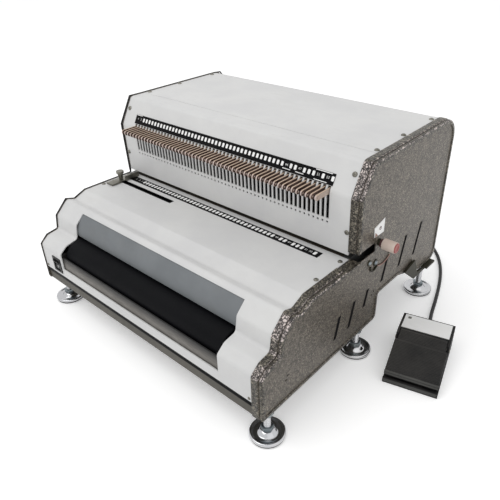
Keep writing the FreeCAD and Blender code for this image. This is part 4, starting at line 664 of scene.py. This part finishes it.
def makeFeet(look):
    pad = turnedPiece(look["pad"], steps=48)
    disc = turnedPiece(look["disc"], steps=64)
    nut = hexNut(look["nutAcross"], look["nutTall"])
    for number, (x, y, seat, top) in look["seats"].items():
        body = "foot_%d" % number
        stud = stand(turnedPiece(threadProfile(look, top), steps=20), (x, y, 0))
        foot = joinPieces([stand(copyPiece(disc), (x, y, 0)), stud])
        settle(foot, "levellingFoot%d" % number, body, "foot_chrome", ["levelling_foot_%d" % number])
        settle(stand(copyPiece(pad), (x, y, 0)), "footPad%d" % number, body, "foot_chrome", finish="belt_rubber")
        highNut = seat - look["nutTall"] - look["nutGap"]
        nuts = [stand(copyPiece(nut), (x, y, look["lowNut"]), turn=look["lowTurn"] * number),
                stand(copyPiece(nut), (x, y, highNut), turn=look["highTurn"] * number)]
        settle(joinPieces(nuts), "footNuts%d" % number, body, "zinc_screw", finish="zincNut")
    for spare in (pad, disc, nut):
        bpy.data.objects.remove(spare)


makeFeet(footSettings)
print("feet turned")

# pan-head screws with a cross recess, modelled once; each row stands on the left side and then on the right
facet = Vector((0, -35.7, 20.4)).normalized()
deckTop, topSlope = 145.0, 0.0082
screwSettings = {
    "head": [(0, 0), (3, 0), (3, 0.45), (2.75, 1), (2.1, 1.5), (1.2, 1.75), (0, 1.8)], "recess": 3.4,
    "barWide": 0.62, "depth": 1, "turnStep": 37,
    "rows": [([(191.7, y, 257.0 + (y - 180.8) * topSlope) for y in (212, 270, 340)], (0, -topSlope, 1), 1),
        ([(191.7, 153.5, deckTop), (191.7, 108.7, deckTop)], (0, 0, 1), 0.93),
        ([(191.7, 376, 120), (191.7, 376, 200)], toBack, 1), ([(192.3, 0, 60)], (0, -1, 0), 0.58),
        ([(190.6, 172.58, 242.6)], tuple(facet), 1), ([(192.7, 161.35, 179.2)], (0, -1, -0.0228), 0.95)]}


def makeScrews(look):
    head = turnedPiece(look["head"], steps=28)
    top = look["head"][-1][1] * mm
    bars = []
    for across, along in ((look["recess"], look["barWide"]), (look["barWide"], look["recess"])):
        size = (across * mm, along * mm, 2 * look["depth"] * mm)
        bpy.ops.mesh.primitive_cube_add(size=1, location=(0, 0, top), scale=size)
        bars.append(applyPlace(bpy.context.object))
    for bar in bars:
        takeUp(head, editing=False)
        cut = head.modifiers.new("recess", "BOOLEAN")
        cut.object = bar
        cut.operation = "DIFFERENCE"
        cut.solver = "EXACT"
        bpy.ops.object.modifier_apply(modifier=cut.name)
        bpy.data.objects.remove(bar)
    heads = []
    for row, axis, size in look["rows"]:
        for side in (-1, 1):
            for x, y, z in row:
                twin = applyPlace(copyPiece(head), Matrix.Scale(size, 4))
                heads.append(stand(twin, (side * x, y, z), axis, turn=look["turnStep"] * len(heads)))
    bpy.data.objects.remove(head)
    settle(joinPieces(heads), "coverScrews", "machine", "zinc_screw", ["cover_screws"])


makeScrews(screwSettings)
print("screws set")

# hole scales: a pale window for each hole, plain numbers in a few of them, and thin rules
towerFoot, towerRise = Vector((0, 160.4, 221.3)), Vector((0, 20.4, 35.7)).normalized()
scaleSettings = {
    "pitch": 6.2865, "columns": 54, "film": 0.5, "proud": 0.12,
    "tower": {"middle": 13.4, "wide": 3.5, "tall": 5.4, "corner": 1, "offset": 1.2, "last": 171,
        "numbered": (0, 1, 43, 46, 50, 52), "size": 4.16},
    "deck": {"middle": 149.9, "wide": 3.9, "tall": 6.3, "corner": 1.3, "offset": 0, "last": 163,
        "numbered": (0, 1, 2, 43, 46, 50, 51), "size": 4.48},
    "ruleTall": 0.9, "ruleCorner": 0.3,
    "rules": ((-170.2, -158, 18.6), (100.5, 112, 8.9), (119, 130.5, 8.9), (144, 166, 18.5), (144.5, 162, 7.6))}


def onTower(x, rise, lift):  # a place on the sloping facet, so far up it and so far off it
    return Vector((x, 0, 0)) + towerFoot + towerRise * rise + facet * lift


def film(wide, tall, corner, proud):  # a thin rounded plate lying at the origin
    letGo()
    bpy.ops.mesh.primitive_plane_add(size=1, location=(0, 0, 0))
    piece = applyPlace(bpy.context.object, Matrix.Diagonal((wide * mm, tall * mm, 1, 1)))
    roundEdges(piece, corner, segments=4, affect="VERTICES")
    bpy.ops.mesh.select_all(action="SELECT")
    bpy.ops.mesh.extrude_region_move(TRANSFORM_OT_translate={"value": (0, 0, proud * mm)})
    letGo()
    return piece


def numeral(text, size, proud):  # a raised number lying at the origin
    letGo()
    bpy.ops.object.text_add(location=(0, 0, 0))
    sign = bpy.context.object
    sign.data.body = text
    sign.data.size = size * mm
    sign.data.align_x, sign.data.align_y = "CENTER", "CENTER"
    sign.data.resolution_u = 3
    sign.data.extrude = proud * mm / 2
    return applyPlace(asMesh(sign), Matrix.Translation((0, 0, proud * mm / 2)))


def makeScales(look):
    proud, lift = look["proud"], look["film"]
    facetUp, deckUp = (towerRise.y, towerRise.z), (1, 0)
    for name, up in (("tower", facetUp), ("deck", deckUp)):
        part = look[name]
        master = film(part["wide"], part["tall"], part["corner"], proud)
        windows, numbers = [], []
        for column in range(look["columns"]):
            x = look["pitch"] * (column - (look["columns"] - 1) / 2) + part["offset"]
            if x > part["last"]:
                continue
            place = onTower(x, part["middle"], lift) if name == "tower" else (x, part["middle"], deckTop + lift)
            if column in part["numbered"]:
                numbers.append(lieOn(numeral(str(column + 1), part["size"], proud), place, up))
            else:
                windows.append(lieOn(copyPiece(master), place, up))
        bpy.data.objects.remove(master)
        settle(joinPieces(windows), name + "ScaleWindows", "machine", "label_white")
        settle(joinPieces(numbers), name + "ScaleNumbers", "machine", "label_white")
    rules = []
    for low, high, rise in look["rules"]:
        rule = film(high - low, look["ruleTall"], look["ruleCorner"], proud)
        rules.append(lieOn(rule, onTower((low + high) / 2, rise, lift), facetUp))
    settle(joinPieces(rules), "towerScaleRules", "machine", "label_white")


makeScales(scaleSettings)
print("scales printed")

# depth knob: a twelve-sided grip on a dark collar, with a red end
knobSettings = {
    "axis": (206.5, 152.5), "collar": [(0, 0), (5, 0), (5, 2.2), (4.4, 3.2), (0, 3.2)], "collarStart": 211.8,
    "sides": 12, "gripRadius": 6.75, "gripStart": 214.6, "gripEnd": 230.6, "gripEdge": 0.55,
    "cap": [(0, 0), (6.1, 0), (6.1, 0.5), (5.6, 1.1), (3.4, 1.15), (3, 0.7), (1.2, 0.6), (0, 0.6)]}


def makeKnob(look):
    y, z = look["axis"]
    long = look["gripEnd"] - look["gripStart"]
    letGo()
    bpy.ops.mesh.primitive_cylinder_add(vertices=look["sides"], radius=look["gripRadius"] * mm, depth=long * mm,
                                        location=(0, 0, long / 2 * mm))
    grip = applyPlace(bpy.context.object)
    roundEdges(grip, look["gripEdge"], segments=3)
    grip = stand(grip, (look["gripStart"], y, z), toRight)
    settle(grip, "depthKnobGrip", "depth_stop", "knob_cream", ["depth_knob"])
    collar = stand(turnedPiece(look["collar"], steps=36), (look["collarStart"], y, z), toRight)
    settle(collar, "depthKnobCollar", "depth_stop", "knob_cream", finish="knobMaroon")
    cap = stand(turnedPiece(look["cap"], steps=36), (look["gripEnd"], y, z), toRight)
    settle(cap, "depthKnobCap", "depth_stop", "knob_cream", finish="knobRed")


makeKnob(knobSettings)
print("depth knob made")

# plain marks on the tag beside the knob, and the bolts, hook and arm under it
sideSettings = {
    "face": 208.8, "bolts": ((188, 133, 1), (202, 127, 1.15)), "plugPlace": (233, 126.6),
    "washer": [(0, 0), (4, 0), (4, 0.5), (3.7, 0.8), (2.4, 0.8), (0, 0.8)],
    "dome": [(0, 0.6), (2.5, 0.6), (2.5, 1.2), (2.1, 2), (1.2, 2.5), (0, 2.6)],
    "plug": [(0, 0), (1.7, 0), (1.7, 0.4), (1.3, 0.8), (0, 0.9)],
    "arm": ((206, 120.5), (214, 117.5), (222, 117.5), (229, 119), (235, 122.5)), "armRadius": 0.8, "armOff": 0.9,
    "hook": ((190, 126.5), (191.5, 121), (196, 118), (201.5, 118.2), (205.5, 121.5)), "hookRadius": 1.1,
    "hookOff": 1, "ringPlace": (209.6, 204.5, 172.2),
    "ring": [(1.5, 0), (2.3, 0), (2.3, 0.16), (1.5, 0.16), (1.5, 0)],
    "dot": [(0, 0), (0.7, 0), (0.7, 0.16), (0, 0.16)], "cornerLow": (209.55, 194, 164.3),
    "cornerHigh": (209.75, 200.5, 170.2), "cornerEdge": 0.08, "cutPlace": (209.6, 200.5, 164.3),
    "cutFacing": (0, 0.67, 0.74)}


def makeSideFittings(look):
    face = look["face"]
    washers, domes = [], []
    for y, z, size in look["bolts"]:
        for profile, heap in ((look["washer"], washers), (look["dome"], domes)):
            part = turnedPiece([(radius * size, height) for radius, height in profile], steps=24)
            heap.append(stand(part, (face, y, z), toRight))
    washers.append(stand(turnedPiece(look["plug"], steps=20), (face, *look["plugPlace"]), toRight))
    settle(joinPieces(washers), "sideWashers", "machine", "black_steel")
    settle(joinPieces(domes), "sideBolts", "machine", "zinc_screw", finish="zincNut")
    for part, name, slot, finish in (("arm", "sideArm", "zinc_screw", "armPink"),
                                     ("hook", "sideHook", "black_steel", "black_steel")):
        line = [(face + look[part + "Off"], y, z) for y, z in look[part]]
        rod = asMesh(rodAlong(name, line, look[part + "Radius"], resolution=3))
        settle(rod, name, "machine", slot, finish=finish)
    ring = stand(turnedPiece(look["ring"], steps=28), look["ringPlace"], toRight)
    dot = stand(turnedPiece(look["dot"], steps=16), look["ringPlace"], toRight)
    settle(joinPieces([ring, dot]), "tagRing", "machine", "label_white", finish="knobMaroon")
    corner = block(look["cornerLow"], look["cornerHigh"], look["cornerEdge"], 1)
    takeAll(corner)
    bpy.ops.mesh.bisect(plane_co=at(*look["cutPlace"]), plane_no=look["cutFacing"], clear_outer=True, use_fill=True)
    settle(corner, "tagCorner", "machine", "label_white", finish="armPink")


makeSideFittings(sideSettings)
print("side fittings made")

# vents: a black insert in each slanting slot, its face just proud of the paint; its dark finish is painted shade for
# the inside of the vents
ventSettings = {
    "slots": [(310.6, 88.3, 132.6), (270.8, 89.7, 130.5), (227.2, 88.8, 118), (187.9, 72.2, 94.8),
        (158, 60.4, 93.9), (129, 61, 90)],
    "face": 208.9, "lean": 0.28, "wide": 5.2, "gap": 0.2, "proud": 0.12, "deep": 2.4, "wall": 0.5, "sunk": 0.8}


def makeVents(look):
    deep = look["deep"]
    inserts = []
    for middle, low, high in look["slots"]:
        slant = look["lean"] * (high - low) / 2
        size = ((deep + 2 * look["proud"]) * mm, look["wide"] * mm, (high - low - look["gap"]) * mm)
        letGo()
        bpy.ops.mesh.primitive_cube_add(size=1, location=at(look["face"] - deep / 2, middle, (low + high) / 2),
                                        scale=size)
        insert = applyPlace(bpy.context.object)
        takeUp(insert)
        for sign in (-1, 1):
            pickFaces(insert, lambda spot, normal: normal.z * sign > squarely)
            bpy.ops.transform.translate(value=(0, sign * slant * mm, 0))
        pickFaces(insert, lambda spot, normal: normal.x > squarely)
        bpy.ops.mesh.inset(thickness=look["wall"] * mm)
        bpy.ops.mesh.extrude_region_move(TRANSFORM_OT_translate={"value": (-look["sunk"] * deep * mm, 0, 0)})
        inserts.append(insert)
    settle(joinPieces(inserts), "ventInserts", "machine", "black_plastic", finish="oxideAndShade")


makeVents(ventSettings)
print("vents lined")

# the slate sheet behind the roller, rolled to one smooth curve
backingSettings = {
    "centre": (63.54, 109.67), "radius": 31.1, "start": 183.6, "sweep": 69.2, "thick": 0.5, "wide": 302,
    "steps": 24}


def makeBacking(look):
    start = math.radians(look["start"])
    middle = look["radius"] + look["thick"] / 2
    y, z = look["centre"]
    edge = at(0, y + middle * math.cos(start), z + middle * math.sin(start))
    letGo()
    bpy.ops.mesh.primitive_plane_add(size=mm, location=edge, rotation=(start, 0, 0))
    sheet = bpy.context.object
    sheet.scale = (look["wide"], look["thick"], 1)
    applyPlace(sheet)
    takeAll(sheet)
    bpy.ops.mesh.spin(steps=look["steps"], angle=math.radians(look["sweep"]), center=at(0, y, z), axis=toRight)
    letGo()
    settle(sheet, "backingSheet", "machine", "slate_panel", angle=60)


makeBacking(backingSettings)
print("backing rolled")

# a black strip over the drawer and another on the drawer's top edge, painted shade for the dark gap under the white
# lip; a liner in the edge guide's slot, and dark piping round the left panel, some of whose points swell
trimSettings = {
    "shadeStrip": ((-195.4, 0.3, 53), (195.4, 1.9, 55.95), 0.3),
    "shadeEdge": ((-195.2, 0.35, 49.7), (195.2, 1.15, 52.8), 0.2),
    "liner": ((-187.4, 128.9, 143.4), (-67.6, 136.3, 145.4), 0.12, 1), "linerWall": 1.05, "x": -197.4, "radius": 1.15,
    "swellOut": 1.2,
    "line": [(-0.2, 40), (-0.3, 66), (-0.4, 92), (10.6, 101.9), (27.4, 104.6), (30.4, 124), (49.2, 142.3),
        (61.8, 138.2), (80.3, 145.4), (120, 145.4), (161, 145.4), (161.6, 151, 1.5), (159.8, 221.2, 1.7),
        (180.2, 257.2, 1.5), (200, 257.6), (300, 258.4), (350, 258.7), (364, 257.6), (373, 247), (376.4, 232),
        (376.5, 200), (376.5, 120), (376.5, 64)]}


def makeTrims(look):
    # painted shade: the two black strips stand for the shadow gap between the white lip and the drawer
    settle(block(*look["shadeStrip"]), "drawerShadeStrip", "machine", "black_plastic", finish="scale_black")
    settle(block(*look["shadeEdge"]), "drawerShadeEdge", "drawer", "drawer_grey", finish="scale_black")
    liner = block(*look["liner"])
    hollowOut(liner, 2, look["linerWall"])
    settle(liner, "slotLiner", "machine", "black_plastic", finish="scale_black")
    swells = [swell[0] if swell else 1.0 for y, z, *swell in look["line"]]
    path = [(look["x"] - look["swellOut"] * (swell - 1), y, z) for swell, (y, z, *more) in zip(swells, look["line"])]
    piping = rodAlong("leftPiping", path, look["radius"], resolution=2, kind="POLY")
    for point, swell in zip(piping.data.splines[0].points, swells):
        point.radius = swell
    settle(asMesh(piping), "leftPiping", "machine", "black_plastic", finish="belt_rubber", angle=60)


makeTrims(trimSettings)
print("trims run")

# a bar and a ring on the switch rocker
switchSettings = {
    "x": -163, "bar": (0.7, 3.4, 0.2, 0.1), "barPlace": (-1.5, 74.6), "barAlong": (-3.6, 6.2),
    "ring": [(1.05, 0), (1.5, 0), (1.5, 0.1), (1.05, 0.1), (1.05, 0)], "ringPlace": (-0.1, 68.3),
    "ringAlong": (0.8, 6.4)}


def makeSwitchMarks(look):
    bar = lieOn(film(*look["bar"]), (look["x"], *look["barPlace"]), look["barAlong"])
    ring = lieOn(turnedPiece(look["ring"], steps=28), (look["x"], *look["ringPlace"]), look["ringAlong"])
    settle(joinPieces([bar, ring]), "rockerMarks", "rocker", "label_white")


makeSwitchMarks(switchSettings)
print("switch marked")

# where the pedal stands, and a place on it in the machine's millimetres
pedalPlace = {"corner": (256, 160), "turn": 14.5}


def pedalPoint(across, along, height):
    turn = math.radians(pedalPlace["turn"])
    x, y = pedalPlace["corner"]
    return (x + across * math.cos(turn) - along * math.sin(turn),
            y + across * math.sin(turn) + along * math.cos(turn), height)


# the cord's gland and boot behind the machine, and a shorter boot at the pedal
bootSettings = {
    "gland": (54, 376, 72), "nut": (18, 5.8, 0.8),
    "dome": [(0, 5.6), (7.6, 5.6), (7.6, 7), (7, 9), (5.6, 11.6), (4.6, 13.4), (4.3, 14.6), (0, 14.6)],
    "rear": {"place": (54, 389.6, 72), "long": 17, "ribs": 7},
    "pedal": {"place": (31.75, 94.6, 10), "long": 12.6, "ribs": 5}, "wide": 4.2, "thin": 3.1,
    "rib": ((0, 0), (0, 0.55), (-0.5, 0.65), (-0.5, 0.95))}


def ribbedBoot(look, part):  # ribs that get thinner towards the cord
    long, ribs = part["long"], part["ribs"]
    profile = [(0, 0)]
    for rib in range(ribs):
        share = rib / ribs
        radius = look["wide"] + (look["thin"] - look["wide"]) * share
        profile += [(radius + out, long * share + long / ribs * up) for out, up in look["rib"]]
    return turnedPiece(profile + [(look["thin"], long), (0, long)], steps=24)


def makeBoots(look):
    nut = stand(hexNut(*look["nut"]), look["gland"], toBack)
    dome = stand(turnedPiece(look["dome"], steps=36), look["gland"], toBack)
    settle(joinPieces([nut, dome]), "cordGland", "machine", "black_plastic", ["cord_gland"])
    boot = stand(ribbedBoot(look, look["rear"]), look["rear"]["place"], toBack)
    settle(boot, "cordBoot", "machine", "black_plastic", finish="belt_rubber")
    turn = math.radians(pedalPlace["turn"])
    spot = pedalPoint(*look["pedal"]["place"])
    boot = stand(ribbedBoot(look, look["pedal"]), spot, (-math.sin(turn), math.cos(turn), 0))
    settle(boot, "pedalBoot", "machine", "black_plastic", finish="belt_rubber")


makeBoots(bootSettings)
print("boots made")

# the pedal's ribbed mat, its grey lip and band, and a small plain mark on its label
pedalSettings = {
    "wide": 63.5, "wall": 3, "low": (3.1, 15.05), "knee": (46.3, 30.7), "high": (61.1, 35.9), "matThick": 0.5,
    "matInset": 1.6, "matEdge": 0.2, "ribPitch": 1.9, "ribWide": 0.8, "ribTall": 0.55, "ribInset": 0.7,
    "ribEdge": 0.22, "ribStart": 0.9, "ribEnd": 1.2, "ribSunk": 0.1, "lip": [(2.75, 11.3), (2.6, 14.2), (4.4, 15.9)],
    "lipThick": 0.9, "lipInset": 1, "lipEdge": 0.3, "band": ((0.9, -0.05, 1.2), (62.6, 0.6, 6.2), 0.3),
    "mark": ((7, 83, 36.55), (11, 87.2, 36.72), 0.05)}


def slopedStrip(wide, start, end, thick, edge):  # a strip across the pedal, from a low to a high point of its slope
    along, rise = end[0] - start[0], end[1] - start[1]
    strip = block((-wide / 2, 0, 0), (wide / 2, math.hypot(along, rise), thick), edge, 1)
    return strip, Matrix.Rotation(math.atan2(rise, along), 4, "X")


def onPedal(piece, across, along, height, slope=Matrix.Identity(4)):  # from the machine's zero to the pedal
    place = moveTo(*pedalPoint(across, along, height)) @ turnBy(pedalPlace["turn"])
    return applyPlace(piece, place @ slope @ Matrix.Translation(-at(0, 0, 0)))


def ribbedMat(look, wide, start, end):
    middle, half = look["wide"] / 2, wide / 2 - look["ribInset"]
    strip, slope = slopedStrip(wide, start, end, look["matThick"], look["matEdge"])
    parts = [onPedal(strip, middle, *start, slope)]
    long = math.dist(start, end)
    rib = block((-half, 0, 0), (half, look["ribWide"], look["ribTall"]), look["ribEdge"], 1)
    raised = slope @ Matrix.Translation((0, 0, (look["matThick"] - look["ribSunk"]) * mm))
    for number in range(int((long - look["ribEnd"]) / look["ribPitch"])):
        share = (look["ribStart"] + number * look["ribPitch"]) / long
        spot = [low + (far - low) * share for low, far in zip(start, end)]
        parts.append(onPedal(copyPiece(rib), middle, *spot, raised))
    bpy.data.objects.remove(rib)
    return parts


def makePedalDress(look):
    wide = look["wide"]
    matWide = wide - look["matInset"]
    mat = ribbedMat(look, matWide, look["low"], look["knee"])
    mat += ribbedMat(look, matWide - 2 * look["wall"], look["knee"], look["high"])
    settle(joinPieces(mat), "pedalMat", "treadle", "pedal_black", finish="pedalRubber")
    lip = []
    for start, end in zip(look["lip"], look["lip"][1:]):
        strip, slope = slopedStrip(wide - look["lipInset"], start, end, look["lipThick"], look["lipEdge"])
        lip.append(onPedal(strip, wide / 2, *start, slope))
    settle(joinPieces(lip), "pedalLip", "treadle", "pedal_black", finish="pedalGrey")
    settle(onPedal(block(*look["band"]), 0, 0, 0), "pedalBand", "machine", "pedal_black", finish="pedalGrey")
    settle(onPedal(block(*look["mark"]), 0, 0, 0), "pedalMark", "machine", "label_white", finish="printGrey")


makePedalDress(pedalSettings)
print("pedal dressed")

# the pedal's cord: out of the gland behind the machine, into a coil, and round the right side to the pedal
cordSettings = {
    "radius": 2.5, "length": 1.485, "coilCentre": (90, 466), "inner": 17.8, "pitch": 5.6, "turns": 6.25,
    "turnPoints": 16, "lift": 0.1, "climbAt": 3.25, "climbOver": 0.5,
    "out": [(54, 392, 72), (54, 407, 72), (54, 420.9, 64), (54, 428.9, 50.1), (54, 429.4, 26), (54, 437, 11),
        (54, 451, 2.6)],
    "back": [(102, 500.6, 8.2), (120, 499.3, 5), (140, 494.2, 2.6), (158, 484.5, 2.6), (173.3, 471, 2.6),
        (190.5, 451, 2.6), (207.5, 422, 2.6), (222.5, 386, 2.6), (236, 344, 2.6), (247.3, 304, 4.1)],
    "atPedal": [(31.75, 111, 10), (31.75, 95, 10)],
    "tie": {"low": (14.4, -3.5, 0.05), "high": (38.9, 3.5, 11.4), "edge": 0.3, "wall": 0.7, "turn": -30}}


def coilPoint(turns, look):  # inwards on the floor, up a layer half way, and outwards again
    outwards = abs(turns - look["climbAt"]) * look["pitch"] + look["inner"]
    angle = math.pi - 2 * math.pi * turns
    climb = min(max((turns - look["climbAt"]) / look["climbOver"] + 0.5, 0), 1)
    height = look["radius"] + look["lift"] + look["pitch"] * climb * climb * (3 - 2 * climb)
    x, y = look["coilCentre"]
    return (x + outwards * math.cos(angle), y + outwards * math.sin(angle), height)


def makeTie(look, centre):  # a strap round the coil
    strap = block(look["low"], look["high"], look["edge"], 1)
    hollowOut(strap, 1, look["wall"])
    applyPlace(strap, moveTo(*centre, 0) @ turnBy(look["turn"]) @ Matrix.Translation(-at(0, 0, 0)))
    return settle(strap, "coilTie", "machine", "cord_black", finish="black_plastic")


def makeCord(look):
    steps = round(look["turns"] * look["turnPoints"])
    coil = [coilPoint(look["turns"] * step / steps, look) for step in range(steps + 1)]
    route = look["out"] + coil + look["back"] + [pedalPoint(*place) for place in look["atPedal"]]
    cord = rodAlong("pedalCord", route, look["radius"], resolution=4)
    cord.data.resolution_u = 6
    cord.data.materials.append(materials["cord_black"])
    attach(cord, "machine")
    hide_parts("pedal_cord_tail", "pedal_cord_coil", "pedal_cord_run")
    tie = makeTie(look["tie"], look["coilCentre"])


makeCord(cordSettings)
print("cord laid")

# floor, lamps and world; the floor and the sky are whiter to the camera and in reflections than they light
studioSettings = {
    "floor": (252, 252, 252), "floorRough": 0.9, "floorSize": 30, "floorDrop": 0.4, "floorGlow": 0.28, "world": 0.74,
    "aim": (0, 180, 100), "lamps": {"key": ((-450, -650, 2000), 1.5, 12), "fill": ((1500, -300, 1100), 1.8, 2.5)}}


def seenBy(tree, *kinds):  # 1 for the kinds of ray that are named
    rays = addNode(tree, "ShaderNodeLightPath").outputs
    seen = rays["Is %s Ray" % kinds[0]]
    for kind in kinds[1:]:
        seen = maths(tree, "MAXIMUM", seen, rays["Is %s Ray" % kind])
    return seen


def makeStudio(look):
    bpy.ops.mesh.primitive_plane_add(size=look["floorSize"], location=(0, 0, -look["floorDrop"] * mm))
    floor = bpy.context.object
    floor.name = "floor"
    material, tree, shader = newMaterial("floor")
    shader["Base Color"].default_value = shade(*look["floor"])
    shader["Roughness"].default_value = look["floorRough"]
    shader["Specular IOR Level"].default_value = 0.0
    glow = maths(tree, "MULTIPLY", seenBy(tree, "Camera", "Glossy"), look["floorGlow"])
    feed(tree, shader["Emission Strength"], glow)
    shader["Emission Color"].default_value = (1, 1, 1, 1)
    floor.data.materials.append(material)
    world = bpy.data.worlds.new("studio")
    bpy.context.scene.world = world
    world.use_nodes = True
    sky = world.node_tree
    background = sky.nodes["Background"].inputs
    background["Color"].default_value = (1, 1, 1, 1)
    plain = seenBy(sky, "Camera", "Glossy", "Transmission")
    feed(sky, background["Strength"], maths(sky, "MULTIPLY_ADD", plain, 1.0 - look["world"], look["world"]))
    for name, (place, size, power) in look["lamps"].items():
        lamp = bpy.data.lights.new(name, "AREA")
        lamp.energy = power
        lamp.size = size
        direction = at(*look["aim"]) - at(*place)
        linkNew(name, lamp).matrix_world = moveTo(*place) @ direction.to_track_quat("-Z", "Y").to_matrix().to_4x4()


makeStudio(studioSettings)
bpy.context.scene.view_settings.view_transform = "Standard"
print("studio lit")
